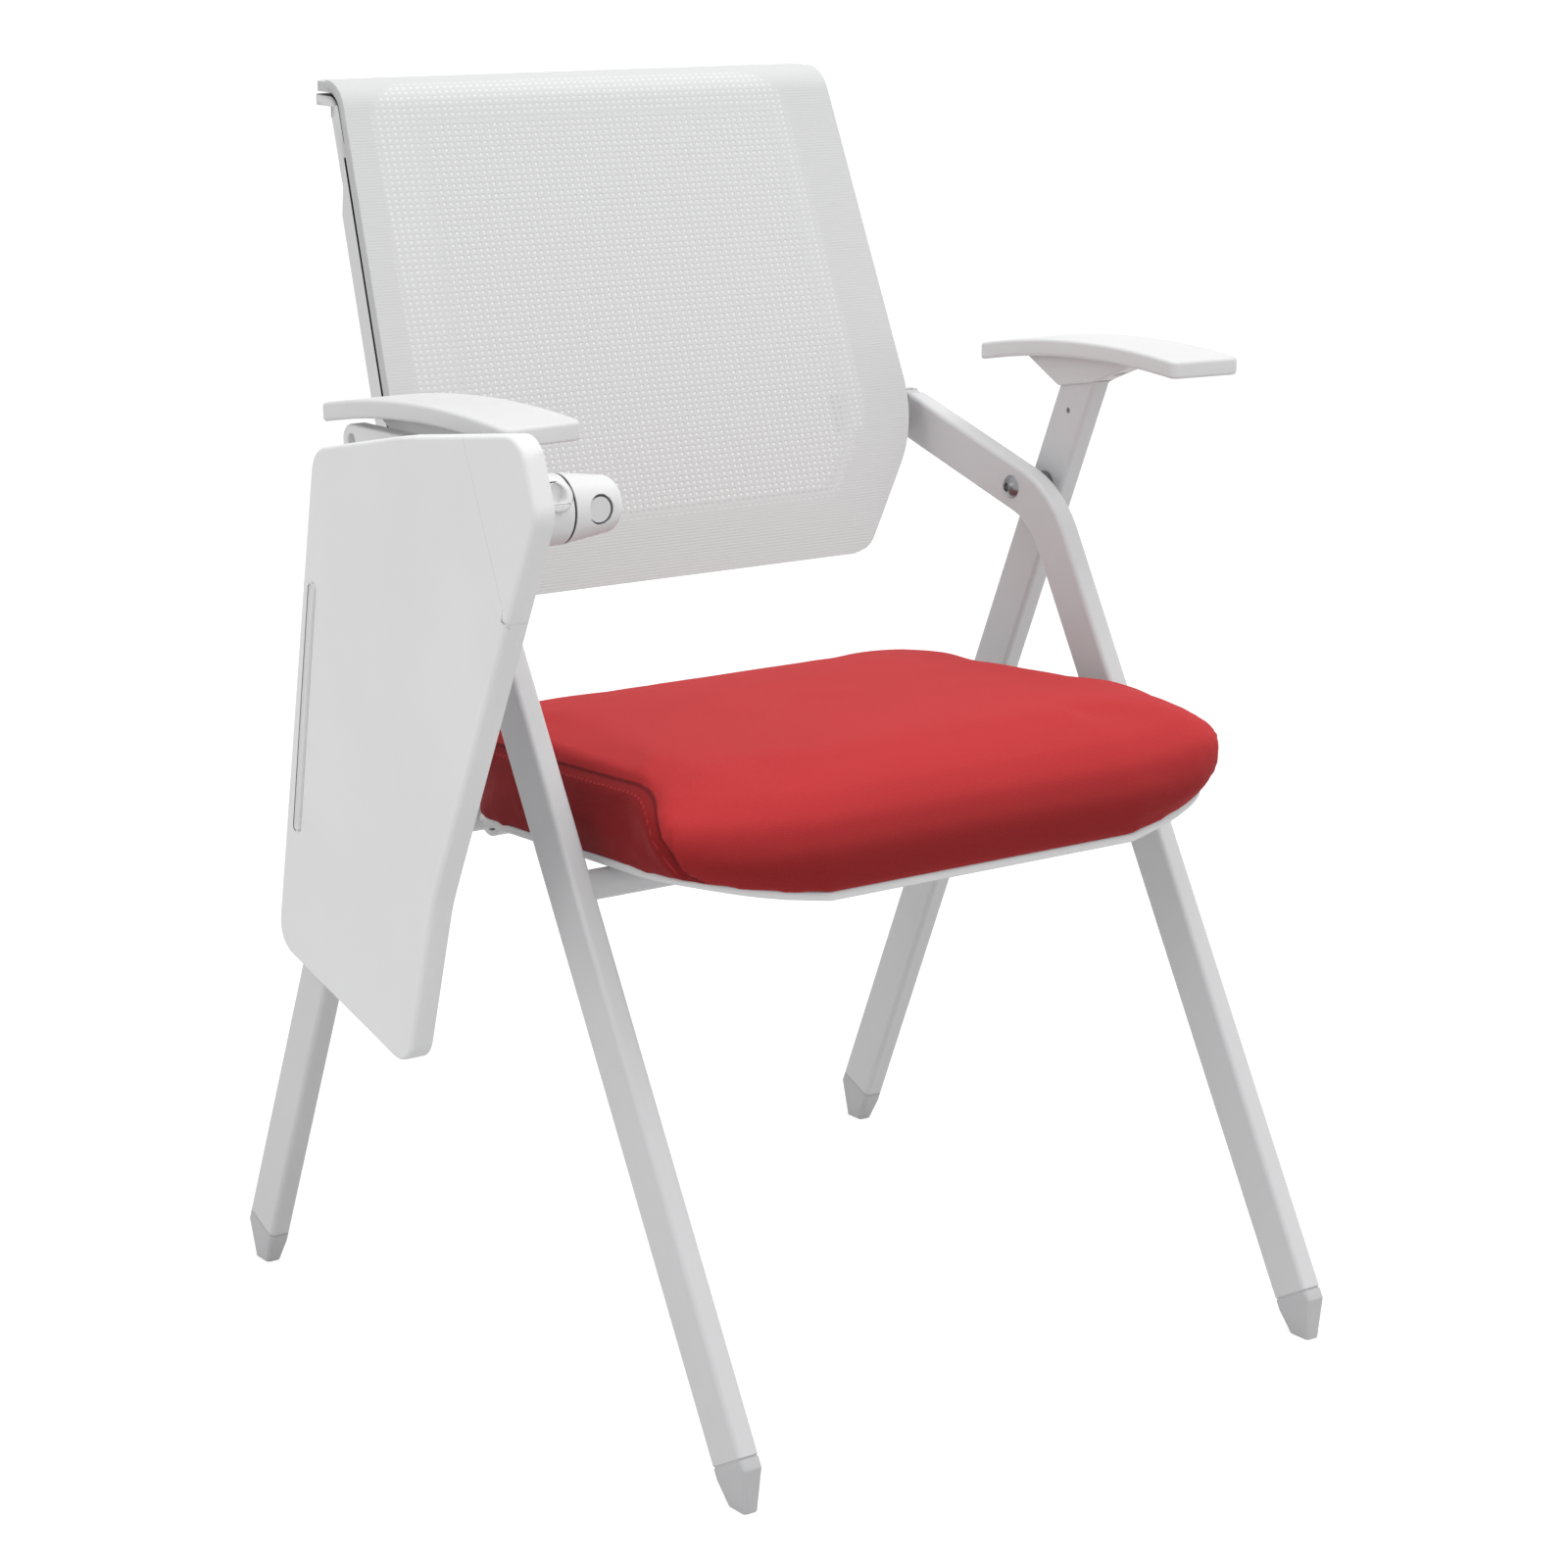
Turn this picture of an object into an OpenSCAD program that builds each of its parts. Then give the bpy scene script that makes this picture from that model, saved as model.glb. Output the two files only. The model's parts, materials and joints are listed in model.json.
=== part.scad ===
// Folding conference chair with a mesh back, a padded seat and a swing-away writing tablet.
// The chair faces -Y, +Z is up, and the floor is z = 0. The sitter's left is +X.
// The tablet hangs on the sitter's right. All lengths are in millimetres.

/* [Leg tubes] */
// Width of a leg tube across the chair
tube_w = 16; // [12:1:20]
// Depth of a leg tube along the chair
tube_d = 34; // [28:1:40]
// Corner radius of a leg tube
tube_r = 3.5; // [3:0.5:6]
// Wall of a leg tube
tube_wall = 1.6; // [1.2:0.1:2.2]
// Distance from the middle of the chair to the middle of a front tube
front_x = 240; // [236:1:246]
// Distance from the middle of the chair to the middle of a rear leg
rear_x = 272.4; // [268:0.2:278]
// Half of the distance from the front feet to the rear feet
foot_y = 285; // [275:1:300]
// Lean of the lower front tube from the vertical, in degrees
front_lean = 29; // [27:0.5:31]
// Lean of the rear leg from the vertical, in degrees
rear_lean = 23.2; // [22:0.1:25]
// Height of the folding pivot
pivot_z = 554; // [545:1:570]
// Slope of the upper front tube above the horizontal, in degrees
upper_slope = 17; // [14:0.5:20]
// Centre line radius of the bend in the front tube
bend_r = 66; // [55:1:72]
// Depth at which the front tube ends, behind the middle of the feet
upper_end_y = 173; // [165:1:180]
// How far the rear leg reaches into the arm bracket
leg_grip = 13; // [11:0.5:15]

/* [Feet] */
// Length of a foot along its leg
foot_len = 34; // [30:1:45]
// Length of the foot's straight collar
foot_collar = 9; // [5:1:14]
// Width of the foot's flat sole
sole_w = 11; // [8:1:14]
// Length of the foot's flat sole
sole_d = 18; // [14:1:26]
// Height of the sole's straight rim
sole_t = 3; // [2:0.5:5]
// How far the sole lies behind the leg's centre line, towards the middle of the chair
sole_back = 8; // [0:1:14]
// Length of the spigot that fills the tube
spigot_len = 24; // [15:1:35]

/* [Cross tubes] */
// Diameter of both cross tubes
cross_d = 20; // [16:1:22]
// Height of the front cross tube
front_cross_z = 357; // [350:1:362]
// Height of the rear cross tube
rear_cross_z = 348.5; // [340:0.5:352]

/* [Folding pivot] */
// Diameter of the pivot bolt
bolt_d = 8; // [6:1:10]
// Diameter of the domed bolt head
bolt_head_d = 17; // [14:1:20]
// Height of the domed bolt head
bolt_head_h = 5; // [3:0.5:7]
// Diameter of the spacer between the tubes
spacer_d = 18; // [14:1:22]
// Outer diameter of the bush in the rear leg
bush_d = 12; // [10.5:0.5:14]

/* [Backrest] */
// Recline of the backrest from the vertical, in degrees
back_recline = 21; // [18:0.5:24]
// Depth of the front face's lower edge
back_y = 113; // [108:1:118]
// Height of the front face's lower edge
back_z = 504.8; // [496:0.4:512]
// Height of the flat top of the backrest
back_top_z = 848; // [836:1:860]
// Half of the width of the lower edge
back_low_half = 152; // [145:1:160]
// Half of the greatest width
back_mid_half = 220.5; // [214:0.5:224]
// Half of the width at the top
back_top_half = 203.5; // [198:0.5:210]
// Height of the widest place
back_mid_z = 590; // [582:1:598]
// Half of the width at the flange's rear edge
back_flange_half = 197; // [190:0.5:202]
// Thickness of the mesh
mesh_t = 1.2; // [0.8:0.1:1.6]
// Thickness of the frame that carries the mesh
carrier_t = 6.8; // [5:0.2:8]
// Width of the frame that carries the mesh
carrier_band = 14; // [10:1:20]
// Gap between the two frames
frame_gap = 2.5; // [2:0.1:4]
// Thickness of the rear frame
rear_frame_t = 14; // [11:0.5:16]
// Outer radius of the roll along the top
roll_r = 26; // [24:0.5:30]
// Length of the flat flange behind the roll
flange_len = 37.39; // [30:0.01:43]
// Thickness of the rear frame's flange
rear_flange_t = 7; // [5:0.5:9]

/* [Seat] */
// Tilt of the seat, front edge up, in degrees
seat_tilt = 4.2; // [3:0.1:6]
// Height of the seat base above the middle of the feet
seat_z = 368.3; // [364:0.1:372]
// Half of the seat's width above the middle of the feet
seat_half = 206.3; // [198:0.1:210]
// Widening of each side for each millimetre towards the front
seat_flare_share = 0.091; // [0.05:0.001:0.1]
// Depth of the seat's rear edge
seat_rear_y = 120; // [112:1:126]
// Depth of the seat's front edge at its middle, towards the front
seat_front_y = 219; // [210:1:226]
// How far the front corners lie behind the middle of the front edge
seat_bow = 27; // [15:1:35]
// How far the middle of the front edge drops
nose_drop = 26; // [10:1:34]
// Thickness of the seat pan
pan_t = 5; // [4:0.5:7]
// Thickness of the board inside the cushion
board_t = 9; // [6:0.5:12]
// Thickness of the cushion at its rear edge
cushion_h = 72; // [60:1:80]
// Extra height in the middle of the cushion
cushion_crown = 5; // [2:0.5:9]

/* [Seat hinge] */
// Distance from the middle of the chair to a hinge lug's outer face
hinge_x = 162; // [140:1:175]
// Width of a hinge lug along the rear cross tube
hinge_w = 24; // [16:1:32]
// Wall of the plastic sleeve that the lug turns on
sleeve_wall = 1.5; // [1:0.1:2.5]
// Wall of the hinge lug round its sleeve
lug_wall = 4; // [3:0.5:5]
// How far the lug's arm reaches forward under the seat pan
lug_reach = 62; // [45:1:80]

/* [Armrests] */
// Highest point of the arm pad
pad_top_z = 665; // [660:1:670]
// Thickness of the arm pad
pad_t = 12.5; // [11:0.5:14]
// Radius of the arch along the arm pad
pad_arch_r = 760; // [650:10:950]
// Depth of the arch's highest point, towards the front
pad_peak_y = 33; // [20:1:45]
// Rear end of the arm pad
pad_rear_y = 109; // [102:1:112]
// Front end of the arm pad, towards the front
pad_front_y = 116; // [110:1:117]
// Distance from the middle of the chair to the pad's inner edge at the front
pad_in_front_x = 242; // [240:0.5:246]
// Distance from the middle of the chair to the pad's inner edge at the rear
pad_in_rear_x = 249.5; // [249:0.5:252]
// Distance from the middle of the chair to the pad's outer edge
pad_out_x = 303; // [299:0.5:306]
// Width of the bracket under the pad
bracket_w = 18; // [17:0.5:19]
// Height from the bracket's lower face to the top of the pad
bracket_drop = 38; // [34:0.5:42]
// Length of the bracket at the pad
bracket_top_len = 124; // [110:1:140]

/* [Writing tablet] */
// Thickness of the tablet
tablet_t = 15.5; // [13:0.5:18]
// Distance from the middle of the chair to the tablet's outer face
tablet_x = 344; // [342:0.5:350]
// Wall of the tablet's tray
tray_wall = 3; // [2:0.5:4]
// Thickness of the plate that closes the tray
cover_t = 2.5; // [2:0.5:3.5]
// Width of the pen groove
groove_w = 6.5; // [4:0.5:8]
// Depth of the pen groove
groove_deep = 1.6; // [1:0.2:2.2]

/* [Tablet joint] */
// Depth of the joint, towards the front
joint_y = 141; // [140:0.5:144]
// Height from the joint's axes to the top of the pad
joint_drop = 51; // [49:0.5:53]
// Distance from the middle of the chair to the flip pin
flip_x = 261; // [258:0.5:263]
// Distance from the middle of the chair to the split between block and rotor
split_x = 281; // [279:0.5:284]
// Distance from the middle of the chair to the block's rounded end
block_end_x = 241; // [236:0.5:246]
// Radius of the joint at the split
joint_r = 22; // [20:0.5:23]
// Radius of the joint at its rounded end
joint_end_r = 18; // [15:0.5:19]
// Diameter of the flip pin
flip_pin_d = 14; // [10:0.5:16]
// Diameter of the flip pin's cap
flip_cap_d = 17.5; // [15:0.5:20]
// Diameter of the swing shaft
swing_shaft_d = 10; // [8:0.5:12]

/* [Hidden] */
$fn = 64;
// Overrun of every cut past the face that it opens
over = 1;
// Short straight steps that make up the bend of a front tube
bend_steps = 10;
// Gap round a part that slides in or turns
fit = 0.06;
// Gap round a plug inside a tube
plug_gap = 0.2;
// Gap between pieces that move past each other
run_gap = 0.3;
// Turn between two points of a rounded corner, in degrees
corner_step = 11;
// Sides of the circles inside a hull
hull_fn = 32;
// Colours, as red, green and blue shares
white_shares = [0.88, 0.89, 0.90];
grey_shares = [0.80, 0.81, 0.82];
steel_shares = [0.55, 0.56, 0.58];
red_shares = [0.78, 0.16, 0.17];
rubber_shares = [0.12, 0.12, 0.13];
wood_shares = [0.72, 0.56, 0.38];

// Pivot, and the corner where the two straight runs of the front tube would meet
pivot_y = foot_y - pivot_z * tan(rear_lean);
corner_z = (pivot_z - (foot_y + pivot_y) * tan(upper_slope))
    / (1 - tan(front_lean) * tan(upper_slope));
corner_y = corner_z * tan(front_lean) - foot_y;
bend_angle = 90 - front_lean - upper_slope;
bend_run = bend_r * tan(bend_angle / 2);
lower_len = corner_z / cos(front_lean) - bend_run;
upper_len = (upper_end_y - corner_y) / cos(upper_slope) - bend_run;
tube_in_x = front_x - tube_w / 2;
tube_out_x = front_x + tube_w / 2;
leg_in_x = rear_x - tube_w / 2;
leg_out_x = rear_x + tube_w / 2;
front_cross_y = front_cross_z * tan(front_lean) - foot_y;
rear_cross_y = foot_y - rear_cross_z * tan(rear_lean);
nut_h = bolt_head_h + over;
nut_share = 1.9;
socket_share = 0.42;
nut_flats_d = bolt_d * nut_share;
socket_d = bolt_head_d * socket_share;
socket_deep = bolt_head_h / 2;

// Backrest layers, measured backwards from the front face
carrier_n = mesh_t;
rear_n = mesh_t + carrier_t + frame_gap;
back_depth = rear_n + rear_frame_t;
// The flat of the backrest ends where the roll begins
roll_angle = 90 - back_recline;
back_corner_up = (back_top_z - back_z) / cos(back_recline);
back_flat_up = back_corner_up - roll_r * tan(roll_angle / 2);
roll_y = back_y + back_corner_up * sin(back_recline) + roll_r * tan(roll_angle / 2);
roll_z = back_top_z - roll_r;
flange_end_y = roll_y + flange_len;
back_low_round = 28;
back_mid_round = 90;
back_top_round = 19;
back_wide_half = max(back_low_half, back_mid_half, back_top_half) + over;
carrier_low_band = 30;
rear_low_band = 42;
rear_band = 25;
boss_d = 8;
boss_in = 10;
boss_low_up = 20;
boss_up_shares = [0.43, 0.83];
lug_gap = 1.5;
lug_plate_t = 12;
lug_plate_half = 15;
lug_screw_step = 24;
lug_inner_x = 168;
lug_plug = 26;
lug_neck = 9;
small_screw_d = 5;
small_head_d = 9;
small_head_h = 2.4;

// Seat
seat_corner_n = 10;
seat_mid_y = 45;
seat_steps = 60;
seat_rings_shares = [0.82, 0.6, 0.36, 0.14];
pan_rings_shares = [0.85, 0.5];
pan_lip = 1.4;
// Cushion profile at the sides and rear: how far in from the rim, and the share of the height
side_in = [0, -2.4, -3.4, -3, -0.6, 5, 14];
side_up_shares = [0, 0.22, 0.46, 0.68, 0.86, 0.965, 0.998];
// Cushion profile along the front edge
front_in = [0, -6, -9, -7, 3, 20, 46];
front_up_shares = [0, 0.17, 0.36, 0.57, 0.79, 0.92, 0.98];
corner_swell_share = 1.2;
front_blend_from = 95;
front_blend_to = 185;
cushion_front_loss = 8;
cushion_gap = 0.4;
nose_from = 118;
board_in = 24;
bumper_w = 26;
bumper_d = 16;
bumper_x = 110;

lug_arm_t = 9;

// Armrest
pad_arch_z = pad_top_z - pad_arch_r;
pad_front_skew = 4;
pad_round = 6;
bracket_z = pad_top_z - bracket_drop;
rear_top_z = bracket_z + leg_grip;
joint_z = pad_top_z - joint_drop;
plug_len = 50;
bracket_rise = 6;
bracket_end_t = 3;
bracket_pin_d = 4;
bracket_screw_z = rear_top_z - 3 * plug_len / 5;
arm_screw_step = 20;
arm_screw_z = rear_top_z - plug_len + small_head_d;
bracket_base_half = 19.5;
pad_screw_step = 38;
pad_screw_grip = 8;
pad_screw_in = 7;
bracket_centre_y = foot_y - bracket_z * tan(rear_lean);

// Tablet outline as it hangs, measured backwards and upwards from its joint
tablet_rear_back = 188;
tablet_rear_up = 19;
tablet_top_back = 81;
tablet_top_up = 39.5;
tablet_front_back = -57;
tablet_front_up = 57;
tablet_knee_back = -74;
tablet_knee_up = 10;
tablet_waist_back = 51;
tablet_waist_up = -252;
tablet_tip_back = 85;
tablet_tip_up = -368;
tablet_low_back = 254;
tablet_low_up = -321;
tablet_round = 20;
tablet_waist_round = 120;
groove_top_back = 192.8;
groove_top_up = -72;
groove_low_back = 222;
groove_low_up = -235;
crease_back = 1.6;
crease_up = 42.5;
crease_low_back = -36.2;
crease_low_up = -45.5;
crease_slope = 1.3;
tablet_in_x = tablet_x - tablet_t;
cover_in = tray_wall + plug_gap;

// Tablet arm
arm_t = 13;
arm_gap = 1.3;
arm_in_x = leg_out_x + arm_gap;
arm_rear_y = 84;
arm_rear_r = 11;
arm_boss_y = 117.6;
arm_boss_len = 20;
arm_boss_r = 13;
arm_top_z = joint_z + 2 * arm_boss_r;
arm_low_z = joint_z - 2 * arm_boss_r;
arm_web_t = 14;
flip_pin_front = 9;
flange_plate_t = 4;
flange_half_y = 34;
flange_half_z = 27;
flange_screw_in = 5.6;
nut_inset = 1;
flange_x = tablet_in_x - fit - flange_plate_t;
cap_deep = 9;
cap_t = 4.5;
ear_r = 11;
ear_in = 13;
ear_up = 13;
ear_reach = 3;
pocket_d = 12;
pocket_floor = 16;
washer_t = 0.8;
block_gap = 0.2;

// The origin is the middle of the floor under the whole chair, tablet included
shift_x = (tablet_x - pad_out_x) / 2;
front_reach = foot_y - (foot_len - foot_collar) * sin(front_lean) + tube_d / 2 * cos(front_lean);
shift_y = (front_reach - flange_end_y - frame_gap) / 2;

// An outline with every corner rounded: each point is [across, along, radius]
function corner_points(before, at, after) =
    let (
        u = [before[0] - at[0], before[1] - at[1]] / norm([before[0] - at[0], before[1] - at[1]]),
        v = [after[0] - at[0], after[1] - at[1]] / norm([after[0] - at[0], after[1] - at[1]]),
        half = acos(max(-1, min(1, u * v))) / 2,
        middle = (u + v) / norm(u + v),
        centre = [at[0], at[1]] + middle * at[2] / sin(half),
        first = [at[0], at[1]] + u * at[2] / tan(half) - centre,
        turn = cross(u, v) > 0 ? -1 : 1,
        sweep = 180 - 2 * half,
        steps = max(2, ceil(sweep / corner_step))
    )
    [for (i = [0:steps]) let (a = turn * sweep * i / steps)
        centre + [first[0] * cos(a) - first[1] * sin(a), first[0] * sin(a) + first[1] * cos(a)]];

function rounded(points) =
    let (n = len(points))
    [for (i = [0:n - 1]) each corner_points(points[(i + n - 1) % n], points[i], points[(i + 1) % n])];

function mirrored(points) =
    concat(points, [for (i = [len(points) - 1:-1:0]) [-points[i][0], points[i][1], points[i][2]]]);

// Every corner moved inwards, so that each side of the outline moves by the inset
function inset(points, d) =
    let (n = len(points))
    [for (i = [0:n - 1])
        let (
            at = points[i],
            before = points[(i + n - 1) % n],
            after = points[(i + 1) % n],
            u = [before[0] - at[0], before[1] - at[1]] / norm([before[0] - at[0], before[1] - at[1]]),
            v = [after[0] - at[0], after[1] - at[1]] / norm([after[0] - at[0], after[1] - at[1]]),
            half = acos(max(-1, min(1, u * v))) / 2,
            out = cross(u, v) > 0 ? -1 : 1,
            moved = [at[0], at[1]] + (u + v) / norm(u + v) * out * d / sin(half)
        )
        [moved[0], moved[1], max(at[2] - out * d, d / 4)]];

function clamped(value) = max(0, min(1, value));
function smooth(value) = let (t = clamped(value)) t * t * (3 - 2 * t);

module place() {
    translate([shift_x, shift_y, 0]) children();
}

module on_side(side) {
    mirror([side < 0 ? 1 : 0, 0, 0]) children();
}

module both_sides() {
    on_side(1) children();
    on_side(-1) children();
}

// A round bar along X, from x0 to x1
module bar_x(x0, x1, y, z, d) {
    translate([x0, y, z]) rotate([0, 90, 0]) cylinder(h = x1 - x0, d = d);
}

// Section of a leg tube: w across, d along, grown by more on every side
module tube_section(more) {
    w = tube_w + 2 * more;
    d = tube_d + 2 * more;
    r = tube_r + more;
    square([w - 2 * r, d], center = true);
    square([w, d - 2 * r], center = true);
    for (sx = [-1, 1], sy = [-1, 1])
        translate([sx * (w / 2 - r), sy * (d / 2 - r)]) circle(r = r);
}

module tube_run(length, more) {
    linear_extrude(height = length) tube_section(more);
}

module tube_wall_section() {
    difference() {
        tube_section(0);
        tube_section(-tube_wall);
    }
}

module upper_frame() {
    translate([front_x, corner_y, corner_z]) rotate([upper_slope - 90, 0, 0]) children();
}

module rear_frame() {
    translate([rear_x, foot_y, 0]) rotate([rear_lean, 0, 0]) children();
}

// Rings of the front tube along its bent centre line: lean is measured from the vertical
function path_ring(section, y, z, lean) =
    [for (p = section) [front_x + p[0], y + p[1] * cos(lean), z - p[1] * sin(lean)]];

function tube_corners(more) = rounded([
    [-tube_w / 2 - more, -tube_d / 2 - more, tube_r + more],
    [tube_w / 2 + more, -tube_d / 2 - more, tube_r + more],
    [tube_w / 2 + more, tube_d / 2 + more, tube_r + more],
    [-tube_w / 2 - more, tube_d / 2 + more, tube_r + more]]);

function low_point(along) = [-foot_y + along * sin(front_lean), along * cos(front_lean)];
function high_point(past) = [upper_end_y + past * cos(upper_slope),
    corner_z + (upper_end_y - corner_y) * tan(upper_slope) + past * sin(upper_slope)];
function bend_point(lean) = [
    corner_y - bend_run * sin(front_lean) + bend_r * (cos(front_lean) - cos(lean)),
    corner_z - bend_run * cos(front_lean) - bend_r * (sin(front_lean) - sin(lean))];

function tube_rings(more, early) =
    let (section = tube_corners(more), low = low_point(foot_len - early), high = high_point(early))
    concat(
        [path_ring(section, low[0], low[1], front_lean)],
        [for (i = [0:bend_steps])
            let (lean = front_lean + bend_angle * i / bend_steps, at = bend_point(lean))
            path_ring(section, at[0], at[1], lean)],
        [path_ring(section, high[0], high[1], 90 - upper_slope)]);

module bent_tube(more, early) {
    low = low_point(foot_len - early);
    high = high_point(early);
    ring_solid(tube_rings(more, early), [front_x, low[0], low[1]], [front_x, high[0], high[1]]);
}

module front_tube(side) {
    color(white_shares) place() on_side(side) difference() {
        bent_tube(0, 0);
        bent_tube(-tube_wall, over);
        bar_x(tube_in_x - over, tube_out_x + over, pivot_y, pivot_z, bolt_d + 2 * fit);
    }
}

module front_tube_left() { front_tube(1); }
module front_tube_right() { front_tube(-1); }

module cross_tube(half, y, z) {
    difference() {
        bar_x(-half, half, y, z, cross_d);
        bar_x(-half - over, half + over, y, z, cross_d - 2 * tube_wall);
    }
}

module front_cross_tube() {
    color(white_shares) place() cross_tube(tube_in_x, front_cross_y, front_cross_z);
}

// A foot: collar as wide as the tube, taper to a flat sole, and a spigot in the tube
module foot_shape(lean) {
    hull() {
        rotate([-lean, 0, 0]) translate([0, 0, foot_len - foot_collar])
            linear_extrude(height = foot_collar) tube_section(0, $fn = hull_fn);
        translate([0, lean > 0 ? sole_back : -sole_back, 0]) linear_extrude(height = sole_t) foot_sole();
    }
    rotate([-lean, 0, 0]) translate([0, 0, foot_len - over])
        tube_run(spigot_len + over, -tube_wall - plug_gap);
}

module foot_sole() {
    r = sole_w / 4;
    hull()
        for (sx = [-1, 1], sy = [-1, 1])
            translate([sx * (sole_w / 2 - r), sy * (sole_d / 2 - r)]) circle(r = r, $fn = hull_fn);
}

module front_foot(side) {
    color(grey_shares) place() on_side(side) translate([front_x, -foot_y, 0]) foot_shape(front_lean);
}

module front_foot_left() { front_foot(1); }
module front_foot_right() { front_foot(-1); }

module rear_foot(side) {
    color(grey_shares) place() on_side(side) translate([rear_x, foot_y, 0]) foot_shape(-rear_lean);
}

module rear_foot_left() { rear_foot(1); }
module rear_foot_right() { rear_foot(-1); }

// Backrest frame: X across, Y backwards from the front face, Z up along it
module back_frame() {
    translate([0, back_y, back_z]) rotate([-back_recline, 0, 0]) children();
}

// Front view of the backrest: half width, height, corner radius
function back_corners() = mirrored([
    [back_low_half, back_z, back_low_round],
    [back_mid_half, back_mid_z, back_mid_round],
    [back_top_half, back_top_z + roll_r, back_top_round]]);

// Half of the backrest's width at height z, above its widest place
function back_half_at(z) =
    back_mid_half + (back_top_half - back_mid_half) * (z - back_mid_z) / (back_top_z + roll_r - back_mid_z);

// Top view of the backrest, whose flange narrows towards its rear edge behind the roll
module flange_plan(end_y) {
    start_y = roll_y - roll_r;
    translate([-back_wide_half, 0]) square([2 * back_wide_half, start_y]);
    polygon(rounded(mirrored([
        [back_half_at(back_top_z) + over, start_y - over, over],
        [back_half_at(back_top_z) + over, start_y + over, over],
        [back_flange_half, end_y, back_top_round]])));
}

// Side view of one layer, n behind the front face and t thick: flat, roll and flange
module back_profile(n, t, flange_t, end_y) {
    r1 = roll_r - n;
    flat_start = [back_y - over * sin(back_recline), back_z - over * cos(back_recline)];
    translate([roll_y, roll_z]) intersection() {
        difference() {
            circle(r = r1, $fn = 96);
            circle(r = r1 - t, $fn = 96);
        }
        polygon([
            [0, 0],
            [-2 * roll_r, 2 * roll_r * tan(back_recline)],
            [-2 * roll_r, 2 * roll_r],
            [0, 2 * roll_r]]);
    }
    translate([roll_y - over / 4, roll_z + r1 - flange_t]) square([end_y - roll_y + over / 4, flange_t]);
    translate(flat_start) rotate([0, 0, -back_recline]) translate([n, 0])
        square([t, back_flat_up + over + fit]);
}

module back_layer(n, t, flange_t, end_y) {
    intersection() {
        translate([-back_wide_half, 0, 0]) rotate([90, 0, 90])
            linear_extrude(height = 2 * back_wide_half) back_profile(n, t, flange_t, end_y);
        back_prism(back_corners());
        linear_extrude(height = back_top_z + over) flange_plan(end_y);
    }
}

module back_prism(corners) {
    translate([0, flange_end_y + over + rear_frame_t, 0]) rotate([90, 0, 0])
        linear_extrude(height = flange_end_y + rear_frame_t) polygon(rounded(corners));
}

module back_mesh() {
    color(white_shares) place() back_layer(0, mesh_t, mesh_t, roll_y + roll_r / 2);
}

module back_mesh_frame() {
    opening = inset(mirrored([
        [back_low_half, back_z + carrier_low_band - carrier_band, back_low_round],
        [back_mid_half, back_mid_z, back_mid_round],
        [back_top_half, roll_z + carrier_band, back_low_round]]), carrier_band);
    color(grey_shares) place() difference() {
        back_layer(carrier_n, carrier_t, carrier_t, flange_end_y);
        back_prism(opening);
    }
}

module back_rear_frame() {
    opening = inset(mirrored([
        [back_low_half, back_z + rear_low_band - rear_band, back_low_round],
        [back_mid_half, back_mid_z, back_mid_round],
        [back_top_half, roll_z + rear_band, back_low_round]]), rear_band);
    color(white_shares) place() difference() {
        union() {
            back_layer(rear_n, rear_frame_t, rear_flange_t, flange_end_y + frame_gap);
            back_bosses();
        }
        back_prism(opening);
        back_frame() lug_screw_places(back_depth - lug_plate_t, rear_frame_t, small_screw_d - over);
    }
}

// Bosses on the rear frame that carry the mesh frame across the gap
module back_bosses() {
    ups = back_flat_up * boss_up_shares;
    halves = [for (up = ups) back_half_at(back_z + up * cos(back_recline)) - boss_in];
    places = [
        [back_low_half - 2 * boss_in, boss_low_up],
        [halves[0], ups[0]],
        [halves[1], ups[1]]];
    back_frame() both_sides()
        for (p = places)
            translate([p[0], rear_n + boss_d / 4, p[1]]) rotate([90, 0, 0])
                cylinder(h = frame_gap + boss_d / 4, d = boss_d);
}

// Places of the two screws of each lug, as rods from depth n over the length len
module lug_screw_places(n, len, d) {
    both_sides()
        for (k = [0, 1])
            translate([lug_inner_x + lug_plate_t + k * lug_screw_step, n + len, lug_up()])
                rotate([90, 0, 0]) cylinder(h = len, d = d);
}

// The neck ends here, seen in the backrest frame
function lug_end() = [upper_end_y + lug_neck * cos(upper_slope) - back_y,
    corner_z + (upper_end_y - corner_y) * tan(upper_slope) + lug_neck * sin(upper_slope) - back_z];
function lug_up() = lug_end()[0] * sin(back_recline) + lug_end()[1] * cos(back_recline);
function lug_back() = lug_end()[0] * cos(back_recline) - lug_end()[1] * sin(back_recline);

module back_lug(side) {
    color(grey_shares) place() on_side(side) difference() {
        union() {
            upper_frame() translate([0, 0, bend_run + upper_len - lug_plug])
                tube_run(lug_plug + over, -tube_wall - plug_gap);
            upper_frame() translate([0, 0, bend_run + upper_len]) tube_run(lug_neck + lug_gap, -lug_gap);
            difference() {
                back_frame() translate([lug_inner_x, back_depth, lug_up() - lug_plate_half])
                    cube([
                        tube_out_x - lug_gap - lug_inner_x,
                        lug_back() - back_depth + 2 * lug_gap,
                        2 * lug_plate_half]);
                upper_frame() translate([0, 0, bend_run]) tube_run(upper_len + fit, tube_r);
            }
        }
        back_frame() translate([lug_inner_x - over, lug_back() + lug_gap, 0])
            cube([pad_out_x, back_depth, back_top_z]);
        back_frame() lug_screw_places(back_depth - over, back_depth, small_screw_d + 2 * fit);
        back_layer(0, back_depth + fit, rear_flange_t + rear_n, flange_end_y);
    }
}

module back_lug_left() { back_lug(1); }
module back_lug_right() { back_lug(-1); }

module back_screws() {
    head_n = lug_back() + lug_gap;
    color(steel_shares) place() back_frame() {
        lug_screw_places(head_n, small_head_h, small_head_d);
        lug_screw_places(head_n - lug_plate_t, lug_plate_t, small_screw_d - over - 2 * fit);
    }
}

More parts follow.
